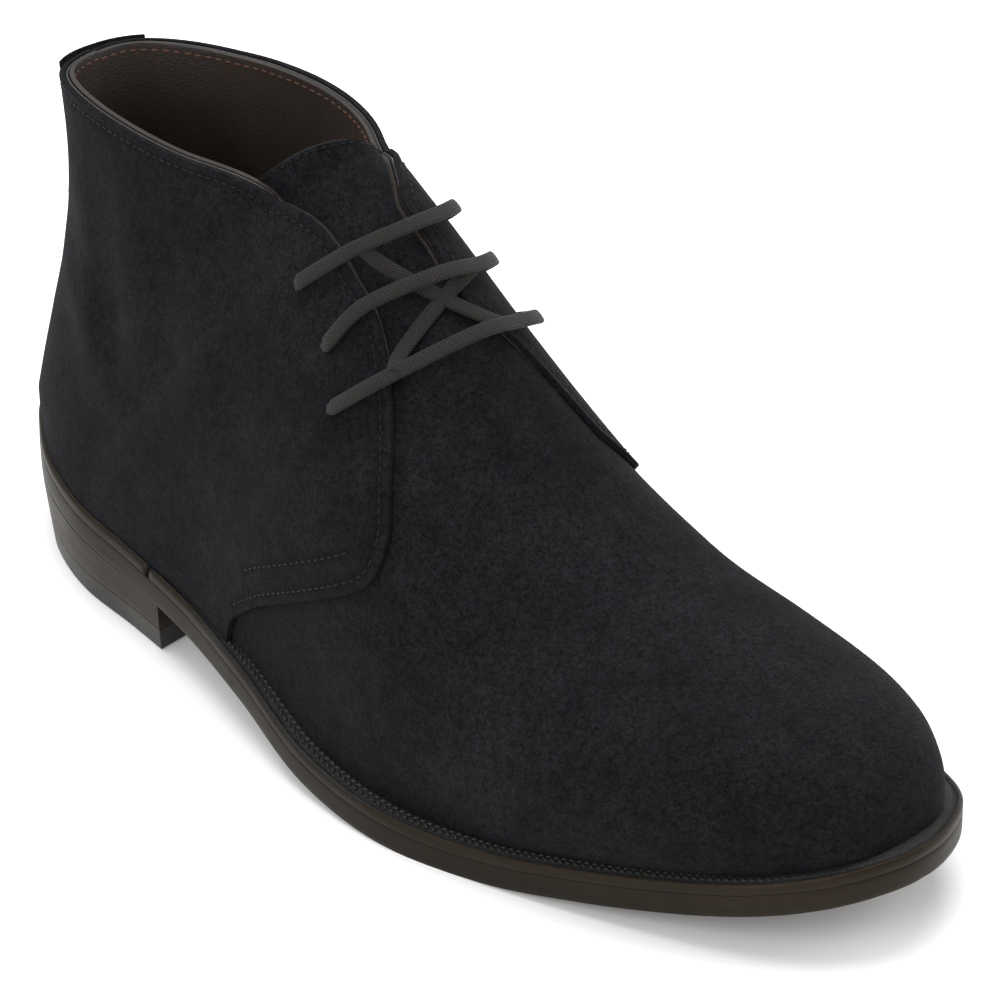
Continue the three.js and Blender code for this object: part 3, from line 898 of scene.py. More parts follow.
def lines_group() -> bpy.types.NodeTree:
    """Level layers in a pressed edge: Tone differs from layer to layer, with Height grooves between.

    Returns:
        The node group.
    """
    tree, g = new_group("edge_layers", {"Spacing": 0.005, "Offset": 0.0}, ("Tone", "Height"))
    vector, spacing, offset = (g.group_in.outputs[k] for k in range(3))
    z = g.node("SeparateXYZ", None, Vector=vector).outputs[2]
    ratio = g.math("DIVIDE", g.math("ADD", z, offset), spacing)
    part = g.math("FRACT", ratio)
    near = g.math("MINIMUM", part, g.math("SUBTRACT", 1.0, part))
    g.feed(g.group_out.inputs["Height"], g.ramp(near, 0.0, 0.05))
    squeezed = g.node("Mapping", None, Vector=vector, Scale=(18.0, 18.0, 900.0)).outputs[0]
    g.feed(g.group_out.inputs["Tone"], g.ramp(noise(g, squeezed, 3.0, 3.0, 0.6), 0.3, 0.7))
    return tree


def weave_group() -> bpy.types.NodeTree:
    """A fine plait over UVs in metres: Height rises on each strand and Tone picks single strands.

    Returns:
        The node group.
    """
    tree, g = new_group("plait", {"Strand": 0.0009}, ("Tone", "Height"))
    vector, strand = g.group_in.outputs[0], g.group_in.outputs[1]
    axes = g.node("SeparateXYZ", None, Vector=vector)
    u = g.math("DIVIDE", axes.outputs[0], strand)
    v = g.math("DIVIDE", axes.outputs[1], strand)
    left = g.math("SINE", g.math("MULTIPLY", g.math("ADD", u, v), math.pi))
    right = g.math("SINE", g.math("MULTIPLY", g.math("SUBTRACT", u, v), math.pi))
    height = g.math("MULTIPLY", g.math("ABSOLUTE", left), g.math("ABSOLUTE", right))
    g.feed(g.group_out.inputs["Height"], height)
    g.feed(g.group_out.inputs["Tone"], g.ramp(g.math("MULTIPLY", left, right), -0.8, 0.8))
    return tree


def shade(r: float, g: float, b: float) -> Colour:
    """A linear colour from 0-255 screen values.

    Args:
        r: Red.
        g: Green.
        b: Blue.

    Returns:
        The linear colour, opaque.
    """
    def one(x: float) -> float:
        """One channel."""
        x /= 255
        return x / 12.92 if x <= 0.04045 else ((x + 0.055) / 1.055) ** 2.4
    return one(r), one(g), one(b), 1.0


def start(
    name: str, roughness: float, specular: float = 0.5
) -> tuple[bpy.types.Material, Graph, bpy.types.Node]:
    """A material with a Principled shader ready to be fed.

    Args:
        name: The material's name.
        roughness: Its plain roughness.
        specular: Its specular level.

    Returns:
        The material, its graph and the shader.
    """
    material = bpy.data.materials.new(name)
    material.use_nodes = True
    graph = Graph(material.node_tree)
    shader = graph.node("BsdfPrincipled")
    shader.inputs["Roughness"].default_value = roughness
    shader.inputs["Specular IOR Level"].default_value = specular
    out = graph.node("OutputMaterial")
    graph.feed(out.inputs["Surface"], shader.outputs[0])
    return material, graph, shader


def bump(
    graph: Graph, shader: bpy.types.Node, height: object, distance: float, strength: float = 1.0
) -> None:
    """Feeds a shader's normal from a height; distance is in metres."""
    node = graph.node("Bump", None, Height=height, Distance=distance, Strength=strength)
    graph.feed(shader.inputs["Normal"], node.outputs[0])


@dataclass(frozen=True)
class Suede:
    """Napped leather, with a soft sheen, seams pressed into it and painted shade along them."""

    name: str
    dark: Colour
    light: Colour
    sheen: float = 0.035

    def build(self, nap: bpy.types.NodeTree) -> bpy.types.Material:
        """Makes the material.

        Args:
            nap: The nap group.

        Returns:
            The material.
        """
        material, g, shader = start(self.name, 0.94, 0.06)
        place = g.node("TexCoord").outputs["Object"]
        fibres = g.group(nap, Vector=place)
        seam = g.node("Attribute", {"attribute_name": "seam"}).outputs["Fac"]
        base = g.mix(fibres.outputs["Tone"], self.dark, self.light)
        speck = g.ramp(fibres.outputs["Speck"], 0.0, 1.0, 0.35, 1.9)
        toned = g.node("VectorMath", {"operation": "SCALE"}, i0=base)
        g.feed(toned.inputs["Scale"], speck)
        # painted shade: the colour is pulled towards near black along the seams, standing in for the shade in
        # their pressed grooves
        pressed = g.mix(g.math("MULTIPLY", seam, 0.45), toned.outputs[0], shade(6, 6, 8))
        g.feed(shader.inputs["Base Color"], pressed)
        g.feed(shader.inputs["Roughness"], g.ramp(fibres.outputs["Tone"], 0, 1, 0.98, 0.88))
        shader.inputs["Sheen Weight"].default_value = self.sheen
        shader.inputs["Sheen Roughness"].default_value = 0.55
        shader.inputs["Sheen Tint"].default_value = shade(160, 162, 170)
        height = g.math("SUBTRACT", fibres.outputs["Height"], g.math("MULTIPLY", seam, 0.8))
        bump(g, shader, height, 0.00035, 0.8)
        return material


@dataclass(frozen=True)
class SmoothLeather:
    """Dyed leather with pores."""

    name: str
    dark: Colour
    light: Colour
    gloss: float = 0.5
    pore_scale: float = 900.0
    relief: float = 0.00008

    def build(self, grain: bpy.types.NodeTree) -> bpy.types.Material:
        """Makes the material.

        Args:
            grain: The leather grain group.

        Returns:
            The material.
        """
        material, g, shader = start(self.name, 0.5, 0.4)
        place = g.node("TexCoord").outputs["Object"]
        skin = g.group(grain, Vector=place, Pore_Scale=self.pore_scale)
        g.feed(shader.inputs["Base Color"], g.mix(skin.outputs["Tone"], self.dark, self.light))
        rough = g.ramp(skin.outputs["Tone"], 0, 1, 1.08 - self.gloss, 0.9 - self.gloss)
        g.feed(shader.inputs["Roughness"], rough)
        bump(g, shader, skin.outputs["Height"], self.relief, 0.7)
        return material


@dataclass(frozen=True)
class BurnishedEdge:
    """A leather edge waxed and pressed smooth, with faint level layers."""

    name: str
    dark: Colour
    light: Colour
    spacing: float
    offset: float = 0.0
    groove: float = 0.00012
    rough: float = 0.36
    line: Colour = shade(14, 12, 10)

    def build(self, lines: bpy.types.NodeTree, grain: bpy.types.NodeTree) -> bpy.types.Material:
        """Makes the material.

        Args:
            lines: The edge layers group.
            grain: The leather grain group.

        Returns:
            The material.
        """
        material, g, shader = start(self.name, self.rough, 0.2)
        shader.inputs["Specular Tint"].default_value = shade(255, 232, 205)
        place = g.node("TexCoord").outputs["Object"]
        layers = g.group(lines, Vector=place, Spacing=self.spacing, Offset=self.offset)
        skin = g.group(grain, Vector=place, Pore_Scale=1400.0, Stain_Scale=70.0)
        streaks = g.math("MULTIPLY", layers.outputs["Tone"], 0.6)
        stains = g.math("MULTIPLY", skin.outputs["Tone"], 0.4)
        tone = g.math("ADD", streaks, stains)
        base = g.mix(tone, self.dark, self.light)
        g.feed(shader.inputs["Base Color"], g.mix(layers.outputs["Height"], self.line, base))
        g.feed(shader.inputs["Roughness"], g.ramp(tone, 0, 1, self.rough + 0.12, self.rough - 0.04))
        height = g.math("ADD", layers.outputs["Height"], g.math("MULTIPLY", skin.outputs["Height"], 0.12))
        bump(g, shader, height, self.groove, 0.6)
        return material


@dataclass(frozen=True)
class Plaited:
    """Waxed cotton, plaited, with painted shade in the hollows between its strands."""

    name: str
    dark: Colour
    light: Colour
    strand: float = 0.0009
    relief: float = 0.00025
    specular: float = 0.15

    def build(self, weave: bpy.types.NodeTree) -> bpy.types.Material:
        """Makes the material.

        Args:
            weave: The plait group.

        Returns:
            The material.
        """
        material, g, shader = start(self.name, 0.55, self.specular)
        place = g.node("UVMap").outputs[0]
        plait = g.group(weave, Vector=place, Strand=self.strand)
        # painted shade: the colour runs from dark in the hollows between strands to light on their crests,
        # following the strand relief
        base = g.mix(plait.outputs["Height"], self.dark, self.light)
        g.feed(shader.inputs["Base Color"], base)
        g.feed(shader.inputs["Roughness"], g.ramp(plait.outputs["Tone"], 0, 1, 0.68, 0.48))
        shader.inputs["Sheen Weight"].default_value = 0.03
        shader.inputs["Sheen Roughness"].default_value = 0.5
        bump(g, shader, plait.outputs["Height"], self.relief, 0.8)
        return material


@dataclass
class Finishes:
    """Every material of the boot, built once."""

    def __post_init__(self) -> None:
        """Builds the shared groups and the materials."""
        nap, grain, lines, weave = nap_group(), grain_group(), lines_group(), weave_group()
        self.suede = Suede("suede", shade(11, 11.5, 13.5), shade(20, 20.5, 22.5)).build(nap)

        def leather(name: str, dark: Colour, light: Colour, *settings: float) -> bpy.types.Material:
            """A smooth leather, with its gloss, pore scale and relief where they aren't the plain ones."""
            return SmoothLeather(name, dark, light, *settings).build(grain)

        def edge(name: str, dark: Colour, light: Colour, **settings: object) -> bpy.types.Material:
            """A burnished edge."""
            return BurnishedEdge(name, dark, light, **settings).build(lines, grain)

        def plait(name: str, dark: Colour, light: Colour, *settings: float) -> bpy.types.Material:
            """A plaited cord or thread, with its strand, relief and specular level."""
            return Plaited(name, dark, light, *settings).build(weave)

        self.raw_edge = leather("painted_edge", shade(18, 17, 17), shade(28, 27, 27), 0.62)
        self.lining = leather("lining_leather", shade(36, 30, 26), shade(50, 43, 38), 0.52)
        # painted shade: a darker copy of the lining for its cut rim, which faces the bright room
        self.shaded_lining_edge = leather("shaded_lining_edge", shade(16, 12, 9), shade(34, 26, 20), 0.35)
        self.insole = leather("insole_leather", shade(52, 38, 30), shade(72, 54, 42), 0.42)
        self.sole_edge = edge(
            "burnished_sole", shade(10, 8, 5), shade(22, 18, 12), spacing=0.2, rough=0.46
        )
        self.heel_edge = edge(
            "burnished_heel", shade(22, 18, 13), shade(35, 29, 22), spacing=0.0053, offset=-0.0011,
            groove=0.00001, rough=0.44, line=shade(25, 21, 15)
        )
        self.sole_face = leather("sole_leather", shade(40, 34, 29), shade(56, 48, 41), 0.5)
        self.welt = leather("welt_leather", shade(5, 5, 4), shade(12, 11, 9), 0.3, 1400.0, 0.0002)
        self.rubber = leather("top_lift_rubber", shade(20, 16, 11), shade(31, 26, 20), 0.56, 2200.0)
        # painted shade: near black for the discs that stand in for the shaded inside of each hole
        self.eyelet = leather("eyelet_hole_shade", shade(4, 4, 4), shade(7, 7, 7), 0.12)
        # each plait's colour is mixed from its dark colour in the strand hollows, painted shade, to its light
        # colour on the crests
        self.lace = plait("lace_cotton", shade(8, 7, 6), shade(33, 31, 28), 0.0009, 0.00025, 0.2)
        self.thread = plait("dark_thread", shade(7, 8, 10), shade(21, 23, 28), 0.0004, 0.0001)
        self.welt_thread = plait("welt_thread", shade(8, 7, 5), shade(30, 26, 19), 0.0004, 0.0001, 0.45)
        self.lining_thread = plait("lining_thread", shade(86, 56, 44), shade(122, 84, 66), 0.0004, 0.0001)


# ---------------------------------------------------------------- upper


def spline(points: np.ndarray, count: int) -> np.ndarray:
    """A smooth curve of count + 1 points through control points."""
    return along(points, np.linspace(0, len(points) - 1, count + 1))


@dataclass(frozen=True)
class Cut:
    """The outline of one quarter seen from the side: (s, z) control points."""

    side: Side
    topline: np.ndarray
    facing: np.ndarray
    hem: np.ndarray


CUTS = {
    Side.OUTER: Cut(
        Side.OUTER,
        rows(
            (14, 133), (24, 135.2), (34, 136.4), (48, 136.8), (62, 136.8),
            (76, 137), (88, 137.2), (97.5, 136.1), (105.9, 132.9)
        ),
        rows(
            (114.4, 132.3), (124.4, 129), (132.5, 124), (142.3, 117.4),
            (152.5, 106.4), (160, 95.4), (172, 73)
        ),
        rows((171, 67.6), (164.5, 61.4), (147.5, 51.4), (130, 41), (119.5, 33), (114.2, 27), (112, 15)),
    ),
    Side.INNER: Cut(
        Side.INNER,
        rows(
            (14, 133), (24, 131.8), (38, 131.7), (51, 132.6), (64, 133.2),
            (76, 133.1), (88, 132.9), (97, 132.9), (105, 134)
        ),
        rows((112, 136.4), (120, 140.2), (130, 138.4), (143, 129.2), (158, 116.8), (173.5, 98), (186.4, 83)),
        rows((186.4, 76), (180, 68), (164, 57), (147, 46.5), (133, 36), (126, 27), (123, 12)),
    ),
}


@dataclass(frozen=True)
class Crease:
    """A soft fold: a ridge with a trough beside it, between two points seen from the side."""

    side: Side
    start: tuple[float, float]
    end: tuple[float, float]
    depth: float
    width: float

    def rise(self, side: Side, s: np.ndarray, z: np.ndarray) -> np.ndarray:
        """How far the surface stands out there, in millimetres.

        Args:
            side: Which side of the foot the points are on.
            s: Lengths, in millimetres.
            z: Heights, in millimetres.

        Returns:
            The rise at each point.
        """
        if side is not self.side:
            return np.zeros_like(s)
        a, b = np.array(self.start), np.array(self.end)
        way = (b - a) / np.linalg.norm(b - a)
        dx, dz = s - a[0], z - a[1]
        forward = dx * way[0] + dz * way[1]
        aside = dx * -way[1] + dz * way[0]
        length = float(np.linalg.norm(b - a))
        fade = ease(forward, -0.15 * length, 0.3 * length) * (1 - ease(forward, 0.7 * length, 1.15 * length))
        u = aside / self.width
        return self.depth * fade * (np.exp(-u * u) - 0.8 * np.exp(-((u - 1.7) ** 2)))


CREASES = (
    Crease(Side.OUTER, (34, 118), (46, 66), 0.9, 7.0),
    Crease(Side.OUTER, (58, 112), (66, 70), 0.7, 8.0),
    Crease(Side.OUTER, (22, 92), (60, 60), 0.7, 7.0),
    Crease(Side.OUTER, (86, 110), (96, 64), 0.5, 9.0),
    Crease(Side.OUTER, (150, 60), (196, 46), 0.35, 7.0),
    Crease(Side.INNER, (30, 112), (48, 64), 0.9, 7.0),
    Crease(Side.INNER, (60, 108), (74, 66), 0.7, 8.0),
    Crease(Side.INNER, (92, 104), (104, 62), 0.5, 9.0),
    Crease(Side.INNER, (166, 66), (206, 52), 0.35, 8.0),
)


def folds(side: Side, flat: np.ndarray) -> np.ndarray:
    """The creases' total rise at (x, s, z) points in millimetres.

    Args:
        side: Which side of the foot.
        flat: Points (x, s, z), in millimetres.

    Returns:
        The rise at each point.
    """
    total = np.zeros(flat.shape[:-1])
    for crease in CREASES:
        total = total + crease.rise(side, flat[..., 1], flat[..., 2])
    return total


@dataclass
class Pattern:
    """One quarter laid on the last: its four borders and a grid of (t, v) between them."""

    last: Last
    cut: Cut
    rows_up: int = 96
    columns: int = 132
    corner: float = 5.0
    tail: int = 24

    def __post_init__(self) -> None:
        """Lays the borders on the last and fills the grid."""
        side = self.cut.side
        self.side = side
        crest = self._topline()
        front, hem = self._front()
        self.edge = self._relaxed(np.vstack([crest, front[1:]]))
        self.hem = hem
        self.grid = self._fill()

    def _relaxed(self, line: np.ndarray, count: int = 420, passes: int = 16) -> np.ndarray:
        """A (t, v) line with its small kinks smoothed away and its ends kept.

        Args:
            line: The line to smooth.
            count: How many points it gets.
            passes: How many times it is smoothed.

        Returns:
            The smoothed line.
        """
        run = lengths(self.last.flat(self.side, line[:, 0], line[:, 1]))
        even = resample(line, run, np.linspace(0, run[-1], count))
        free = slice(1, -self.tail)
        for _ in range(passes):
            mean = (even[:-2] + 2 * even[1:-1] + even[2:]) / 4
            even[free] = mean[: len(even[free])]
        return even

    def _topline(self) -> np.ndarray:
        """The collar's edge from the back seam to the facing's top, as (t, v).

        Returns:
            The points in order.
        """
        heights = spline(self.cut.topline, 120)

        def level(s: np.ndarray) -> np.ndarray:
            """The topline's height at a length."""
            return np.interp(s, heights[:, 0], heights[:, 1])

        end = self.last.locate(self.side, *self.cut.topline[-1])
        v = end[1] * np.linspace(0, 1, 90)
        t = np.array([self.last.under(self.side, x, level) for x in v])
        t[-1] = end[0]
        return np.stack([t, v], axis=1)

    def _front(self) -> tuple[np.ndarray, np.ndarray]:
        """The facing down to its lower corner, and the hem from there to the welt, as (t, v).

        Returns:
            The two lines.
        """
        topline = self.cut.topline
        whole = spline(np.vstack([topline, self.cut.facing]), 400)
        facing = whole[whole[:, 0] >= topline[-1, 0]]
        hem = spline(self.cut.hem, 160)
        a = facing[lengths(facing[::-1])[::-1] >= self.corner]
        b = hem[lengths(hem) >= self.corner * 0.8]
        tip = (facing[-1] + hem[0]) / 2 + (facing[-1] - a[-1]) * 0.1
        u = np.linspace(0, 1, 21)[:, None]
        bend = (1 - u) ** 2 * a[-1] + 2 * u * (1 - u) * tip + u**2 * b[0]
        line = np.vstack([a, bend[1:-1], b])
        half = len(a) + 10
        foot = float(self.last.sole.top(b[-1, 0]))
        tv = np.array([self.last.locate(self.side, s, max(z, foot)) for s, z in line])
        below = line[:, 1] < foot
        tv[below, 1] = 0
        first = int(np.argmax(below)) if below.any() else len(line) - 1
        tv = tv[: first + 1]
        tv[-1, 1] = 0
        return tv[:half], tv[half - 1 :]

    def stretch(self, flat: np.ndarray) -> np.ndarray:
        """Coordinates in which a quarter lies flat: length round the heel, and height."""
        s, x = flat[..., 1], np.abs(flat[..., 0])
        return np.stack([s + x * (1 - ease(s, 15, 95)), flat[..., 2]], axis=-1)

    def _border(self, tv: np.ndarray, count: int) -> np.ndarray:
        """A border as count points evenly spaced over the surface, in flat coordinates.

        Args:
            tv: The border, as (t, v).
            count: How many points it gets.

        Returns:
            The points, in flat coordinates.
        """
        flat = self.last.flat(self.side, tv[:, 0], tv[:, 1])
        run = lengths(flat)
        share = np.linspace(0, 1, count)
        return resample(self.stretch(flat), run, share * run[-1])

    def _fill(self) -> np.ndarray:
        """A grid of (t, v) whose rim is exactly the quarter's outline.

        Returns:
            The grid.
        """
        foot_t = self.hem[-1, 0]
        seat = float(self.last.SEAT)
        bottom = np.stack([np.linspace(seat, foot_t, 80), np.zeros(80)], axis=1)
        back = np.stack([np.linspace(seat, self.edge[0, 0], 80), np.zeros(80)], axis=1)
        nc, nr = self.columns, self.rows_up
        low, top = self._border(bottom, nc), self._border(self.edge, nc)
        left, right = self._border(back, nr), self._border(self.hem[::-1], nr)
        a, b = np.linspace(0, 1, nc)[None, :, None], np.linspace(0, 1, nr)[:, None, None]
        plane = (1 - b) * low[None] + b * top[None] + (1 - a) * left[:, None] + a * right[:, None]
        plane -= (1 - a) * (1 - b) * low[0] + a * (1 - b) * low[-1] + (1 - a) * b * top[0] + a * b * top[-1]
        tv = self._invert(plane)
        every = slice(None)
        rim = (
            ((0, every), bottom),
            ((nr - 1, every), self.edge),
            ((every, 0), back),
            ((every, nc - 1), self.hem[::-1]),
        )
        for place, line in rim:
            run = lengths(self.last.flat(self.side, line[:, 0], line[:, 1]))
            tv[place] = resample(line, run, np.linspace(0, run[-1], len(tv[place])))
        return tv

    def _invert(self, plane: np.ndarray) -> np.ndarray:
        """Finds (t, v) for points in flat coordinates by a few damped Newton steps.

        Args:
            plane: A grid of points in flat coordinates.

        Returns:
            Their (t, v).
        """
        t = np.linspace(8, self.last.top_row - 0.2, 260)
        v = np.linspace(0, 1, 90)
        tt, vv = np.meshgrid(t, v, indexing="ij")
        known = self.stretch(self.last.flat(self.side, tt, vv)).reshape(-1, 2)
        tree = KDTree(len(known))
        for i, (p, q) in enumerate(known):
            tree.insert((p, q, 0), i)
        tree.balance()
        wanted = plane.reshape(-1, 2)
        near = np.array([tree.find((p, q, 0))[1] for p, q in wanted])
        tv = np.stack([tt.ravel()[near], vv.ravel()[near]], axis=1)

        def at(tv: np.ndarray) -> np.ndarray:
            """Flat coordinates of (t, v)."""
            return self.stretch(self.last.flat(self.side, tv[:, 0], tv[:, 1]))

        small = 2e-3
        for _ in range(8):
            miss = wanted - at(tv)
            dt = (at(tv + [small, 0]) - at(tv - [small, 0])) / (2 * small)
            dv = (at(tv + [0, small]) - at(tv - [0, small])) / (2 * small)
            bottom = dt[:, 0] * dv[:, 1] - dt[:, 1] * dv[:, 0]
            bottom = np.where(np.abs(bottom) < 1e-3, 1e-3, bottom)
            step_t = (miss[:, 0] * dv[:, 1] - miss[:, 1] * dv[:, 0]) / bottom
            step_v = (dt[:, 0] * miss[:, 1] - dt[:, 1] * miss[:, 0]) / bottom
            tv[:, 0] += np.clip(step_t, -0.3, 0.3)
            tv[:, 1] = np.clip(tv[:, 1] + np.clip(step_v, -0.05, 0.05), 0, 1)
        return tv.reshape(plane.shape)

    def surface(self, out: float) -> np.ndarray:
        """The grid's points in metres at a distance off the last, creases included.

        Args:
            out: The distance off the last, in millimetres.

        Returns:
            The grid of points.
        """
        t, v = self.grid[..., 0], self.grid[..., 1]
        flat = self.last.flat(self.side, t, v)
        return self.last.point(self.side, t, v, out + folds(self.side, flat))

    def inset(
        self,
        inward: float,
        from_share: float = 0.0,
        to_share: float = 1.0,
        hem: bool = False,
        count: int = 160,
    ) -> np.ndarray:
        """A line along the topline and facing, or along the hem, inside the edge.

        Args:
            inward: Millimetres inside the edge.
            from_share: Where it starts along the edge.
            to_share: Where it ends.
            hem: Follow the hem instead.
            count: How many points.

        Returns:
            Rows of (t, v).
        """
        line = self.hem if hem else self.edge
        flat = self.last.flat(self.side, line[:, 0], line[:, 1])
        run = lengths(flat)
        even = resample(line, run, np.linspace(from_share, to_share, count) * run[-1])
        turn = 1 if self.side is Side.OUTER else -1
        return self.last.walk(self.side, even, -inward * turn)

    def on_surface(self, tv: np.ndarray, out: float) -> np.ndarray:
        """Points in metres of a (t, v) line at a distance off the last, creases included."""
        flat = self.last.flat(self.side, tv[:, 0], tv[:, 1])
        return self.last.point(self.side, tv[:, 0], tv[:, 1], out + folds(self.side, flat))


@dataclass
class Quarter:
    """One side of the boot: suede over a lining, with its seams."""

    pattern: Pattern
    finishes: Finishes
    proud: float = 1.7
    suede_thick: float = 1.4
    band_out: float = -0.3
    band_thick: float = 0.95
    band_width: float = 2.4
    lining_out: float = -0.95
    lining_thick: float = 1.2
    seam_inset: float = 2.7
    second_row: float = 9.5
    seam_depth: float = 0.22
    press_width: float = 1.1

    @property
    def tag(self) -> str:
        """The side's name in piece names."""
        return self.pattern.side.name.lower()

    def _outward(self) -> Callable[[Vector], Vector]:
        """The outward direction near a point."""
        last = self.pattern.last
        return lambda point: Vector(last.nearest_normal(point))

    def seams(self) -> list[np.ndarray]:
        """The stitch rows as points on the suede: the edge's, and two along the hem.

        Returns:
            One array of points for each row.
        """
        p = self.pattern
        rows_tv = [
            p.inset(self.seam_inset, 0.0, 0.985),
            p.inset(self.seam_inset, 0.0, 0.86, hem=True),
            p.inset(self.second_row, 0.12, 0.72, hem=True),
        ]
        return [p.on_surface(tv, self.proud - self.seam_depth * 0.4) for tv in rows_tv]

    def build_suede(self, seams: list[np.ndarray]) -> bpy.types.Object:
        """The suede, pressed in along its seams, with the mask that paints shade along them.

        Args:
            seams: The stitch rows.

        Returns:
            The piece.
        """
        p = self.pattern
        points = p.surface(self.proud)
        line = np.vstack(seams)
        tree = KDTree(len(line))
        for i, q in enumerate(line):
            tree.insert(q, i)
        tree.balance()
        away = np.array([tree.find(q)[2] for q in points.reshape(-1, 3)]).reshape(points.shape[:2]) / MM
        press = np.exp(-((away / self.press_width) ** 2))
        normal = p.last.normal(p.grid[..., 0], p.last.column(p.side, p.grid[..., 1]))
        points = points - normal * (press * self.seam_depth * MM)[..., None]
        bm = grid_mesh(points)
        face_out(bm, self._outward())
        # the seam mask deepens the bump and paints shade into the suede's colour along the seams
        layer = bm.verts.layers.float.new("seam")
        for vert in bm.verts:
            distance = tree.find(vert.co)[2] / MM
            vert[layer] = math.exp(-((distance / self.press_width) ** 2))
        f = self.finishes
        name = f"quarter_{self.tag}_suede"
        piece = finish_piece(bm, name, [f.suede, f.raw_edge], [f"quarter_{self.tag}"])
        thicken(piece, self.suede_thick, 0.35, rim=0)
        return piece

    def build_edge(self) -> bpy.types.Object:
        """The painted band that shows between suede and lining along the collar and facing.

        Returns:
            The finished piece.
        """
        p = self.pattern
        tv = p.inset(self.band_width / 2 + 0.15, 0.0, 1.0, count=420)
        centres = p.on_surface(tv, self.band_out)
        ahead = np.gradient(centres, axis=0)
        ahead /= np.linalg.norm(ahead, axis=1, keepdims=True)
        out = p.last.normal(tv[:, 0], p.last.column(p.side, tv[:, 1]))
        across = np.cross(out, ahead)
        bar = rounded_bar(self.band_width * MM, self.band_thick * MM, 12, 3.0)
        bm = grid_mesh(swept(bar, centres, across, out))
        close_ends(bm)
        return finish_piece(bm, f"quarter_{self.tag}_edge", [self.finishes.raw_edge])

    def build_lining(self) -> bpy.types.Object:
        """The leather that lines the quarter, seen inside the collar and at the facing's edge.

        Returns:
            The finished piece.
        """
        p = self.pattern
        bm = grid_mesh(p.surface(self.lining_out))
        face_out(bm, self._outward())
        name = f"quarter_{self.tag}_lining"
        replaces = ["upper"] if p.side is Side.OUTER else []
        # the second slot gives the cut rim the lining's darker copy, painted shade
        leathers = [self.finishes.lining, self.finishes.shaded_lining_edge]
        piece = finish_piece(bm, name, leathers, replaces)
        thicken(piece, self.lining_thick, 0.3, rim=1)
        return piece

    def build_stitches(self, seams: list[np.ndarray]) -> list[bpy.types.Object]:
        """The thread of every seam.

        Args:
            seams: The stitch rows on the suede.

        Returns:
            The outer rows, and the row inside the collar.
        """
        last, f = self.pattern.last, self.finishes
        bm = bmesh.new()
        for seam in seams:
            Stitching(pitch=2.5, length=1.9).sew(bm, seam, last.nearest_normal)
        outer = finish_piece(bm, f"quarter_{self.tag}_stitches", [f.thread])
        bm = bmesh.new()
        inside = self.pattern.inset(1.9, 0.0, 0.6)
        under = self.pattern.on_surface(inside, self.lining_out - self.lining_thick - 0.05)
        Stitching(pitch=2.8, length=2.1, width=0.6).sew(bm, under, last.nearest_normal)
        inner = finish_piece(bm, f"lining_{self.tag}_stitches", [f.lining_thread])
        return [outer, inner]

    def build(self) -> None:
        """Makes every piece of the quarter."""
        seams = self.seams()
        self.build_suede(seams)
        self.build_edge()
        self.build_lining()
        self.build_stitches(seams)


@dataclass
class Vamp:
    """The front of the boot and its tongue, cut in one."""

    last: Last
    finishes: Finishes
    rows_up: int = 190
    columns: int = 150
    thick: float = 1.7
    under_lining: float = -2.15
    tongue_top: np.ndarray = field(
        default_factory=lambda: rows(
            (-1, 15.5), (-0.75, 16.4), (-0.5, 17.02), (-0.25, 17.26), (-0.06, 16.5),
            (0.06, 15.4), (0.25, 14.3), (0.5, 13.5), (0.75, 13), (1, 12.7)
        )
    )
    tongue_half: float = 0.44

    def _foot(self, t: np.ndarray) -> np.ndarray:
        """How far up each section its sides start: at the welt, then under the quarters."""
        return ease(t, 10.35, 12.6) * (1 - self.tongue_half)

    def _top(self, across: np.ndarray) -> np.ndarray:
        """The tongue's last row at places across it, from -1 to 1."""
        line = spline(self.tongue_top, 200)
        return np.interp(across, line[:, 0], line[:, 1])

    def surface(self) -> tuple[np.ndarray, np.ndarray, np.ndarray]:
        """The skin's rows and grid columns on the last, and how far it stands off it.

        Returns:
            The rows t, the columns and the distances in millimetres.
        """
        across = np.linspace(-1, 1, self.columns + 1)
        ends = self._top(across)
        rise = np.linspace(0, 1, self.rows_up + 1)[:, None]
        t = rise * ends[None, :]
        v = 1 - np.abs(across)[None, :] * (1 - self._foot(t))
        half = self.last.HALF
        column = np.where(across[None, :] < 0, v * half, 2 * half - v * half)
        sink = ease(t, 9.3, 11.4) * ease(v, 0.36, 0.5)
        out = self.under_lining * sink
        for side in Side:
            mine = (across < 0) if side is Side.OUTER else (across >= 0)
            flat = self.last.flat(side, t[:, mine], v[:, mine])
            out[:, mine] += folds(side, flat) * (1 - sink[:, mine])
        return t, column, out

    def build(self) -> None:
        """Makes the skin and the stitches along the tongue's top."""
        t, column, out = self.surface()
        bm = grid_mesh(self.last.lift(t, column, out))
        face_out(bm, lambda point: Vector(self.last.nearest_normal(point)))
        f = self.finishes
        skin = finish_piece(bm, "vamp_and_tongue", [f.suede, f.lining], ["tongue"])
        thicken(skin, self.thick, 0.4, inner=1)
        back = round(self.rows_up * 0.015)
        inset_t, inset_c, inset_out = t[-1] - 0.22, column[-back - 1], out[-back - 1]
        path = self.last.lift(inset_t[6:-6], inset_c[6:-6], inset_out[6:-6] + 0.05)
        bm = bmesh.new()
        Stitching(pitch=2.4, length=1.8).sew(bm, path, self.last.nearest_normal)
        finish_piece(bm, "tongue_stitches", [f.thread])


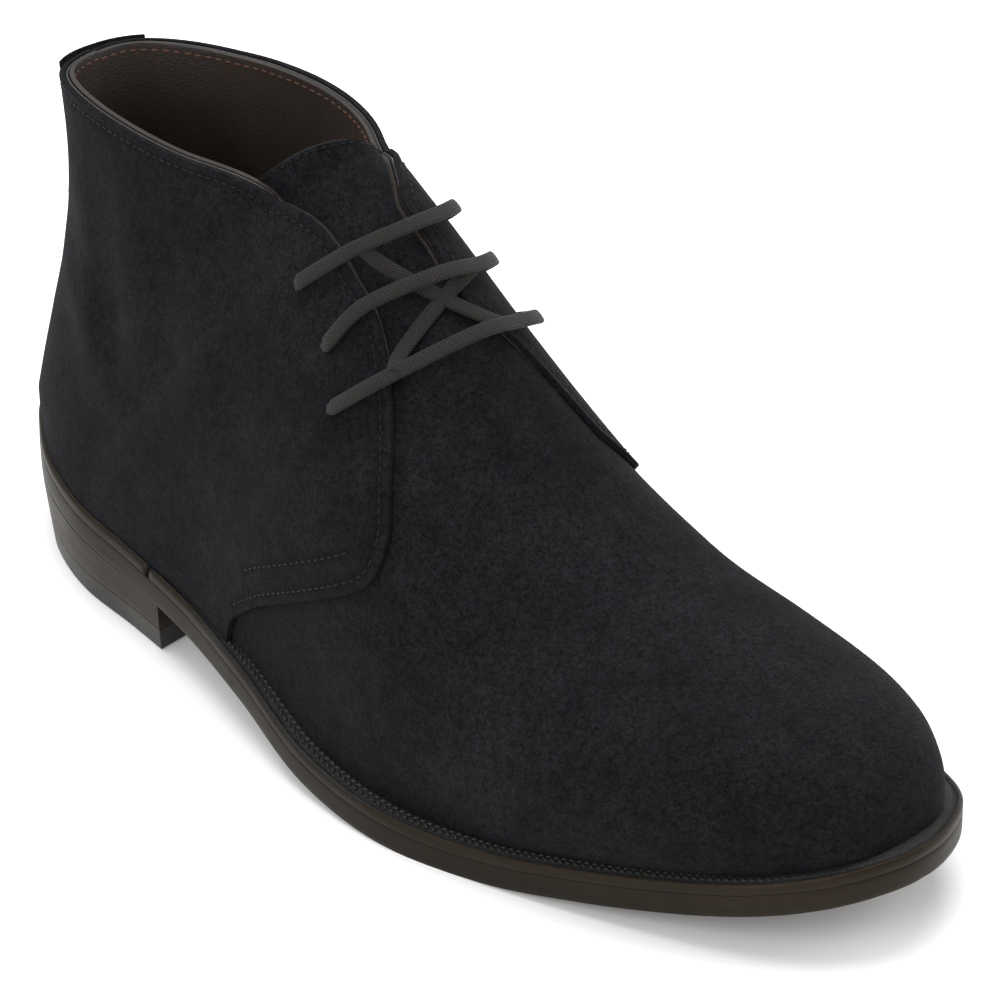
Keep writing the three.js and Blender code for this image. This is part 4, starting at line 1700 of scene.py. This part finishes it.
@dataclass
class HeelTab:
    """The short strip over the back seam, with its seams."""

    last: Last
    finishes: Finishes
    low: float = 97.0
    high: float = 134.0
    slant: float = 0.07
    half_width: float = 12.4
    aside: float = 2.0
    outer: float = 2.2
    thick: float = 0.5
    rows_up: int = 30

    def surface(self) -> np.ndarray:
        """The strip's points in metres, from its foot up to its slanting top.

        Returns:
            The grid of points.
        """
        across = np.linspace(-1, 1, 33) * self.half_width + self.aside
        points = []
        for share in np.linspace(0, 1, self.rows_up):
            line = []
            for x in across:
                side = Side.OUTER if x < 0 else Side.INNER
                z = self.low + (self.high - self.slant * x - self.low) * share
                v = np.linspace(0, 0.5, 60)
                t = float(self.last.under(side, 0.0, lambda s: np.full_like(s, z), low=15.0))
                flat = self.last.flat(side, np.full_like(v, t), v)
                place = float(np.interp(abs(x), np.abs(flat[:, 0]), v))
                row = float(self.last.under(side, place, lambda s: np.full_like(s, z), low=15.0))
                line.append(self.last.point(side, np.array(row), np.array(place), self.outer))
            points.append(line)
        return np.array(points)

    def build(self) -> None:
        """Makes the strip and its stitches."""
        grid = self.surface()
        bm = grid_mesh(grid)
        centre = Vector(self.last.point(Side.OUTER, np.array(20.0), np.array(0.0), 0))

        def outward(point: Vector) -> Vector:
            """Away from the middle of the folded edge."""
            return Vector((0, point.y - centre.y, 0.2 * (point.z - centre.z)))

        face_out(bm, outward)
        f = self.finishes
        piece = finish_piece(bm, "heel_tab_strip", [f.suede, f.raw_edge], ["heel_tab"])
        thicken(piece, self.thick, 0.3)
        bm = bmesh.new()
        normals = self.last.nearest_normal
        sew = Stitching(pitch=2.4, length=1.8, height=0.45)
        for line in (grid[1:-1, 3], grid[1:-1, -4], grid[1, 3:-3]):
            sew.sew(bm, line, normals)
        finish_piece(bm, "heel_tab_stitches", [f.thread])


@dataclass
class Eyelets:
    """Holes punched through the facings, by their places seen from the side, each drawn as a sunken
    near-black disc of painted shade.
    """

    patterns: dict[Side, Pattern]
    finishes: Finishes
    radius: float = 2.5
    rim: float = 0.3
    outer: tuple[tuple[float, float], ...] = ((121, 119.4), (134.2, 109.2), (142.5, 97.7))
    inner: tuple[tuple[float, float], ...] = ((131, 127.0), (143.5, 117.5), (155, 107.0))
    proud: float = 1.7

    def place(self, side: Side, s: float, z: float) -> tuple[Vector, Vector]:
        """A hole's centre on the suede and the way out of it.

        Args:
            side: Which side of the foot.
            s: Its length from the back edge, in millimetres.
            z: Its height, in millimetres.

        Returns:
            The point in metres and the unit vector.
        """
        last = self.patterns[side].last
        t, v = (np.array([x]) for x in last.locate(side, s, z))
        flat = last.flat(side, t, v)
        point = last.point(side, t, v, self.proud + folds(side, flat))[0]
        return Vector(point), Vector(last.normal(t, last.column(side, v))[0])

    def build(self) -> None:
        """Makes a sunken near-black disc with a pressed rim at every hole: painted shade for the hole's dark
        inside.
        """
        bm = bmesh.new()
        for side, holes in ((Side.OUTER, self.outer), (Side.INNER, self.inner)):
            for s, z in holes:
                centre, out = self.place(side, s, z)
                turn = out.to_track_quat("Z", "Y").to_matrix().to_4x4()
                lift = Matrix.Translation(centre + out * 0.06 * MM)
                made = bmesh.ops.create_circle(
                    bm, cap_ends=True, segments=24, radius=self.radius * MM, matrix=lift @ turn
                )
                faces = list({f for v in made["verts"] for f in v.link_faces})
                bmesh.ops.inset_region(bm, faces=faces, thickness=self.rim * MM, use_even_offset=True)
                bottom = [f for f in faces if f.is_valid]
                bmesh.ops.translate(
                    bm, verts=list({v for f in bottom for v in f.verts}), vec=-out * 0.5 * MM
                )
        finish_piece(bm, "eyelet_hole_shades", [self.finishes.eyelet])


LACE_BARS = (
    rows((-30, 122.5, 121.6), (-23, 132, 130.6), (-12, 140, 136.2), (-1, 141, 136.2), (8, 137.5, 133.4)),
    rows((-34, 136, 111.6), (-27, 141.5, 121.2), (-12, 151.5, 128), (1, 152.5, 126), (10, 148.5, 122.4)),
    rows((-40, 144.5, 99.8), (-33, 155, 109.2), (-12, 165, 117.2), (4, 164.5, 114), (13, 161, 110)),
)
LACE_CROSSINGS = (
    rows((-31.5, 156, 110.6), (-26, 153, 112.2), (-14, 152.5, 119.6), (-2, 153, 126.2)),
    rows((-21, 134, 132), (-18, 140, 127.6), (-12, 151, 122), (-6, 160, 117.6), (-2, 165, 115.4)),
)


@dataclass
class Laces:
    """Flat waxed laces: a bar over each pair of holes and two crossings beneath."""

    last: Last
    eyelets: Eyelets
    finishes: Finishes
    width: float = 3.9
    thick: float = 1.5
    dip: float = 3.2
    crest: float = 0.2
    narrowing: float = 0.35
    narrow_run: float = 3.0

    def route(self, controls: np.ndarray, start: Vector | None, end: Vector | None) -> np.ndarray:
        """A smooth path through control points, in metres.

        Args:
            controls: (x, s, z) points.
            start: A hole that it comes out of.
            end: A hole that it goes into.

        Returns:
            The path.
        """
        sole = self.last.sole
        points = [Vector(p) for p in sole.place(controls[:, 0], controls[:, 1], controls[:, 2])]
        for hole, first in ((start, True), (end, False)):
            if hole is None:
                continue
            out = Vector(self.last.nearest_normal(hole))
            lead = [hole - out * self.dip * MM, hole + out * self.crest * MM]
            points = lead + points if first else points + lead[::-1]
        return spline(np.array([list(p) for p in points]), 14 * len(points))

    def ribbon(self, bm: bmesh.types.BMesh, path: np.ndarray, gathered: bool) -> None:
        """Adds one flat lace along a path.

        Args:
            bm: The mesh that it joins.
            path: Its middle line in metres.
            gathered: Whether its ends narrow into holes.
        """
        run = lengths(path)
        path = resample(path, run, np.linspace(0, run[-1], max(int(run[-1] / (0.7 * MM)), 12)))
        ahead = np.gradient(path, axis=0)
        ahead /= np.linalg.norm(ahead, axis=1, keepdims=True)
        out = np.array([self.last.nearest_normal(p) for p in path])
        for _ in range(12):
            out[1:-1] = (out[:-2] + out[1:-1] * 2 + out[2:]) / 4
        out -= ahead * (out * ahead).sum(1, keepdims=True)
        out /= np.linalg.norm(out, axis=1, keepdims=True)
        ring = rounded_bar(self.width * MM, self.thick * MM, 14, 2.6)
        skin = swept(ring, path, np.cross(out, ahead), out)
        if gathered:
            along_path = lengths(path) / MM
            near = np.minimum(along_path, along_path[-1] - along_path)
            keep = 1 - self.narrowing * np.exp(-((near / self.narrow_run) ** 2))
            skin = path[:, None] + (skin - path[:, None]) * keep[:, None, None]
        piece = grid_mesh(skin)
        close_ends(piece)
        mesh = bpy.data.meshes.new("lace_part")
        piece.to_mesh(mesh)
        piece.free()
        bm.from_mesh(mesh)
        bpy.data.meshes.remove(mesh)

    def build(self) -> None:
        """Makes the bars and the crossings."""
        bm = bmesh.new()
        for k, bar in enumerate(LACE_BARS):
            start, _ = self.eyelets.place(Side.OUTER, *self.eyelets.outer[k])
            end, _ = self.eyelets.place(Side.INNER, *self.eyelets.inner[k])
            self.ribbon(bm, self.route(bar, start, end), gathered=True)
        for crossing in LACE_CROSSINGS:
            self.ribbon(bm, self.route(crossing, None, None), gathered=False)
        finish_piece(bm, "laces_flat", [self.finishes.lace], ["laces"])


# ---------------------------------------------------------------- sole


@dataclass
class SoleUnit:
    """Outsole, welt with its seam, heel seat, stacked heel and top lift."""

    sole: SoleForm
    finishes: Finishes
    gap: float = 0.08
    joint: float = 76.0
    trim: float = 0.25
    heel_length: float = 80.0
    heel_taper: float = 2.0
    taper_top: float = 18.0
    breast_lean: float = 0.4
    lift_thick: float = 6.4
    seam_inset: float = 3.4

    def rim(self, half: int = 150) -> np.ndarray:
        """The sole's edge as (x, s)."""
        return self.sole.outline(half)

    def ring_points(self, ring: np.ndarray, profile: Sequence[tuple[float, float]]) -> np.ndarray:
        """Rows round the sole's edge: each profile point is (inset, height above the welt's top).

        Args:
            ring: Points (x, s) of the sole's edge, in millimetres.
            profile: The rows, in order.

        Returns:
            A grid of points in metres.
        """
        lines = []
        for inset, rise in profile:
            moved = inset_ring(ring, inset)
            lines.append(self.sole.place(moved[:, 0], moved[:, 1], self.sole.top(ring[:, 1]) + rise))
        return np.stack(lines, axis=1)

    def build_outsole(self) -> None:
        """The outsole with its rounded edge, bevelled lip and whole underside."""
        ring = self.rim()
        low, high = -self.sole.edge, -self.sole.welt_thick - 0.04
        edge = [(13.0, high - 0.3), (0.25, high), (0.16, high - 0.12), (0.15, high - 1.6), (0.15, low + 1.7)]
        edge += [(0.25, low + 0.35), (0.6, low + 0.03), (2.2, low)]
        points = self.ring_points(ring, edge)
        # under the heel's flat length the sole stays clear of the ground line
        floor = self.sole.floor(ring[:, 1])
        for k, (_, rise) in enumerate(edge):
            height = np.maximum(self.sole.top(ring[:, 1]) + rise, floor)
            points[:, k, 2] = height * MM
        spine_s = np.clip(ring[:, 1], 24, self.sole.length - 24)
        station = spine_s / self.sole.length
        middle = (self.sole.width(Side.INNER, station) - self.sole.width(Side.OUTER, station)) / 2
        rim_in = inset_ring(ring, 2.2)
        inner = []
        for share in (0.12, 0.35, 0.6, 0.85, 1.0):
            x = rim_in[:, 0] + (middle - rim_in[:, 0]) * share
            s = rim_in[:, 1] + (spine_s - rim_in[:, 1]) * share
            inner.append(self.sole.place(x, s, self.sole.floor(s)))
        points = np.concatenate([points, np.stack(inner, axis=1)], axis=1)
        points = np.concatenate([points, points[:1]], axis=0)
        bm = grid_mesh(points, weld=2e-5)
        close_ends(bm)
        f = self.finishes
        piece = finish_piece(bm, "outsole_edge", [f.sole_edge, f.sole_face], ["outsole"])
        for polygon in piece.data.polygons:
            if polygon.normal.z < -0.8 and polygon.area > 0:
                polygon.material_index = 1

    def strip(
        self, keep: Callable[[np.ndarray], np.ndarray], profile: Sequence[tuple[float, float]]
    ) -> np.ndarray:
        """A closed profile swept along the part of the edge that is kept.

        Args:
            keep: Says which lengths belong to the strip.
            profile: (inset, rise) points of the closed section.

        Returns:
            Rows of points along the strip.
        """
        ring = self.rim(220)
        points = self.ring_points(ring, list(profile) + [profile[0]])
        kept = keep(ring[:, 1])
        if kept[0]:
            turn = len(kept) - int(np.argmin(kept[::-1]))
            points, kept = np.roll(points, -turn, axis=0), np.roll(kept, -turn)
        return points[kept]

    def build_welt(self) -> None:
        """The welt forward of the joint, with a lip, a groove and a row of close stitches."""
        low = -self.sole.welt_thick
        section = [(11.5, low), (0.3, low), (0.17, low + 0.12), (0.15, low + 1.2), (0.15, -0.9), (0.4, -0.35)]
        section += [(0.9, 0.0), (1.3, 0.0), (1.6, -0.35), (1.9, -0.75), (2.3, -0.7), (2.6, -0.3)]
        section += [(3.1, -0.15), (4.4, -0.1), (5.2, -0.15), (8.0, -0.2), (11.5, -0.2)]
        f = self.finishes
        bm = grid_mesh(self.strip(lambda s: s > self.joint, section))
        close_ends(bm)
        piece = finish_piece(bm, "welt_strip", [f.welt, f.sole_edge], ["welt"])
        self._edge_material(piece, 1.25)
        seat = [(11.5, low), (0.3, low), (0.17, low + 0.12), (0.15, low + 1.2), (0.15, -0.9), (0.4, -0.35)]
        seat += [(0.9, 0.0), (1.3, 0.0), (1.8, -0.45), (6.0, -0.6), (11.5, -0.6)]
        bm = grid_mesh(self.strip(lambda s: s <= self.joint, seat))
        close_ends(bm)
        piece = finish_piece(bm, "heel_seat_strip", [f.welt, f.sole_edge], ["heel_seat"])
        self._edge_material(piece, 1.4)
        self._welt_seam()

    def _edge_material(self, piece: bpy.types.Object, depth: float) -> None:
        """Gives the outer edge the burnished finish down to a depth in from the rim.

        Args:
            piece: The piece, changed in place.
            depth: How far in the burnish goes, in millimetres.
        """
        ring = self.rim(220)
        tree = KDTree(len(ring))
        for i, (x, s) in enumerate(ring):
            p = self.sole.place(x, s, 0)
            tree.insert((p[0], p[1], 0), i)
        tree.balance()
        for polygon in piece.data.polygons:
            c = polygon.center
            if tree.find((c.x, c.y, 0))[2] < depth * MM:
                polygon.material_index = 1

    def _welt_seam(self) -> None:
        """The welt's stitches: a slanted row of short thick threads with a knurl beside it."""
        ring = self.rim(220)
        bm = bmesh.new()
        for inset, tilt, pitch, length in ((4.5, 32.0, 2.1, 2.1), (3.1, -30.0, 2.1, 2.0)):
            line = inset_ring(ring, inset)
            kept = np.flatnonzero(ring[:, 1] > self.joint + 1)
            line = line[kept[0] : kept[-1] + 1]
            z = self.sole.top(line[:, 1]) - 0.1
            path = self.sole.place(line[:, 0], line[:, 1], z)
            sew = Stitching(pitch=pitch, length=length, width=0.9, height=1.15, tilt=tilt)
            sew.sew(bm, path, lambda point: np.array([0.0, 0.0, 1.0]))
        finish_piece(bm, "welt_stitches", [self.finishes.welt_thread])

    def heel_outline(self, inset: float, lean: float, count: int = 60) -> np.ndarray:
        """The heel's level outline as (x, s): round at the back and straight across the breast.

        Args:
            inset: How far inside the sole edge it runs, in millimetres.
            lean: How far the breast stands behind the heel's full length, in millimetres.
            count: How many steps each side has.

        Returns:
            The points in order.
        """
        share = 1 - np.cos(np.linspace(0, math.pi / 2, count + 1))
        s = inset + share * (self.heel_length - lean - inset)
        station = share * self.heel_length / self.sole.length
        wide = {side: np.maximum(self.sole.width(side, station) - inset, 0) for side in Side}
        outer = np.stack([-wide[Side.OUTER], s], axis=1)
        inner = np.stack([wide[Side.INNER], s], axis=1)[::-1]
        u = np.linspace(0, 1, 14)[1:-1, None]
        breast = outer[-1] + (inner[0] - outer[-1]) * u
        breast[:, 1] -= 1.2 * np.sin(np.pi * u[:, 0])
        return np.vstack([outer, breast, inner[:-1]])

    def heel_block(self, low: float, high: Heights, soft: float) -> bmesh.types.BMesh:
        """One block of the heel between two levels, tapering to the ground.

        Args:
            low: The lower level.
            high: The upper level at each length.
            soft: Radius of its lower edge.

        Returns:
            The closed block.
        """
        steps = [(0.0, soft), (soft * 0.3, soft * 0.3), (soft, 0.0)]
        steps += [(rise, 0.0) for rise in (2.5, 4, 6, 8, 10, 12, 14, 16, 18, 24)]
        lines = []
        for rise, extra in steps:
            plain = self.heel_outline(self.trim + extra, extra)
            smaller = self.heel_outline(self.trim + extra + 1, extra + self.breast_lean)
            z = np.minimum(low + rise, high(plain[:, 1]))
            taper = np.clip(1 - z / self.taper_top, 0, 1) * self.heel_taper
            ring = plain + (smaller - plain) * taper[:, None]
            lines.append(self.sole.place(ring[:, 0], ring[:, 1], z))
        points = np.stack(lines, axis=1)
        points = np.concatenate([points, points[:1]], axis=0)
        bm = grid_mesh(points, weld=1e-5)
        close_ends(bm)
        return bm

    def build_heel(self) -> None:
        """The top lift and the stacked heel over it."""
        f = self.finishes

        def lift_top(s: np.ndarray) -> np.ndarray:
            """The top lift's upper face."""
            return np.full_like(s, self.lift_thick)

        def stack_top(s: np.ndarray) -> np.ndarray:
            """The underside of the outsole over the heel."""
            return self.sole.floor(s) - self.gap

        lift = self.heel_block(0.0, lift_top, 0.5)
        stack = self.heel_block(self.lift_thick + 0.12, stack_top, 0.1)
        pieces = (
            finish_piece(lift, "top_lift_rubber", [f.rubber], ["top_lift"]),
            finish_piece(stack, "heel_stack", [f.heel_edge], ["heel_block"]),
        )
        for piece in pieces:
            piece.data.set_sharp_from_angle(angle=math.radians(40))

    def build(self) -> None:
        """Makes every piece of the sole."""
        self.build_outsole()
        self.build_welt()
        self.build_heel()


@dataclass
class Studio:
    """A pale floor, soft lights and the camera."""

    floor_size: float = 6.0
    target: tuple[float, float, float] = (0.006, 0.0, 0.050)
    azimuth: float = -44.8
    elevation: float = 31.8
    distance: float = 1.701
    lens: float = 247.4
    shift: tuple[float, float] = (0.027, 0.031)

    def build_floor(self) -> None:
        """A matt pale floor at the sole's level."""
        bm = bmesh.new()
        bmesh.ops.create_grid(bm, x_segments=8, y_segments=8, size=self.floor_size)
        mesh = bpy.data.meshes.new("floor")
        bm.to_mesh(mesh)
        bm.free()
        floor = bpy.data.objects.new("floor", mesh)
        bpy.context.scene.collection.objects.link(floor)
        material, _, shader = start("pale_floor", 0.9, 0.1)
        shader.inputs["Base Color"].default_value = (0.86, 0.86, 0.86, 1)
        mesh.materials.append(material)

    def area(self, name: str, place: Sequence[float], size: float, power: float) -> None:
        """A soft square light aimed at the boot.

        Args:
            name: The light's name.
            place: Where it stands, in metres.
            size: The square's side, in metres.
            power: Its power, in watts.
        """
        data = bpy.data.lights.new(name, "AREA")
        data.shape, data.size, data.energy = "SQUARE", size, power
        lamp = bpy.data.objects.new(name, data)
        lamp.location = place
        lamp.rotation_euler = (Vector(self.target) - Vector(place)).to_track_quat("-Z", "Y").to_euler()
        bpy.context.scene.collection.objects.link(lamp)

    def build_light(self) -> None:
        """A broad top light, a soft fill from the camera's side and a white room."""
        self.area("top_softbox", (0.3, 0.5, 2.2), 2.2, 62.0)
        self.area("left_softbox", (-2.0, -0.4, 1.3), 1.6, 34.0)
        self.area("right_softbox", (1.8, -1.2, 1.2), 1.4, 20.0)
        world = bpy.data.worlds.new("white_room")
        world.use_nodes = True
        world.node_tree.nodes["Background"].inputs[0].default_value = (1, 1, 1, 1)
        world.node_tree.nodes["Background"].inputs[1].default_value = 0.75
        bpy.context.scene.world = world
        bpy.context.scene.view_settings.view_transform = "Standard"

    def build_camera(self) -> None:
        """The camera at the boot's front and outer side, from above."""
        a, e = math.radians(self.azimuth), math.radians(self.elevation)
        back = Vector((math.sin(a) * math.cos(e), -math.cos(a) * math.cos(e), math.sin(e)))
        data = bpy.data.cameras.new("camera")
        data.lens, data.sensor_width = self.lens, 36.0
        data.shift_x, data.shift_y = self.shift
        data.clip_start, data.clip_end = 0.05, 50.0
        camera = bpy.data.objects.new("camera", data)
        camera.location = Vector(self.target) + back * self.distance
        camera.rotation_euler = (-back).to_track_quat("-Z", "Y").to_euler()
        bpy.context.scene.collection.objects.link(camera)
        bpy.context.scene.camera = camera

    def build(self) -> None:
        """Makes the whole stage."""
        self.build_floor()
        self.build_light()
        self.build_camera()


def dress_insole(finishes: Finishes) -> None:
    """Gives the CAD insole its leather.

    Args:
        finishes: The materials.
    """
    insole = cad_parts["insole"]
    insole.data.materials.clear()
    insole.data.materials.append(finishes.insole)


def main() -> None:
    """Builds the boot and its stage."""
    logging.basicConfig(level=logging.INFO, format="%(name)s: %(message)s")
    sole = SoleForm()
    last = Last(sole)
    finishes = Finishes()
    patterns = {side: Pattern(last, CUTS[side]) for side in Side}
    for pattern in patterns.values():
        Quarter(pattern, finishes).build()
    Vamp(last, finishes).build()
    HeelTab(last, finishes).build()
    eyelets = Eyelets(patterns, finishes)
    eyelets.build()
    Laces(last, eyelets, finishes).build()
    SoleUnit(sole, finishes).build()
    dress_insole(finishes)
    Studio().build()


if __name__ == "__main__":
    main()
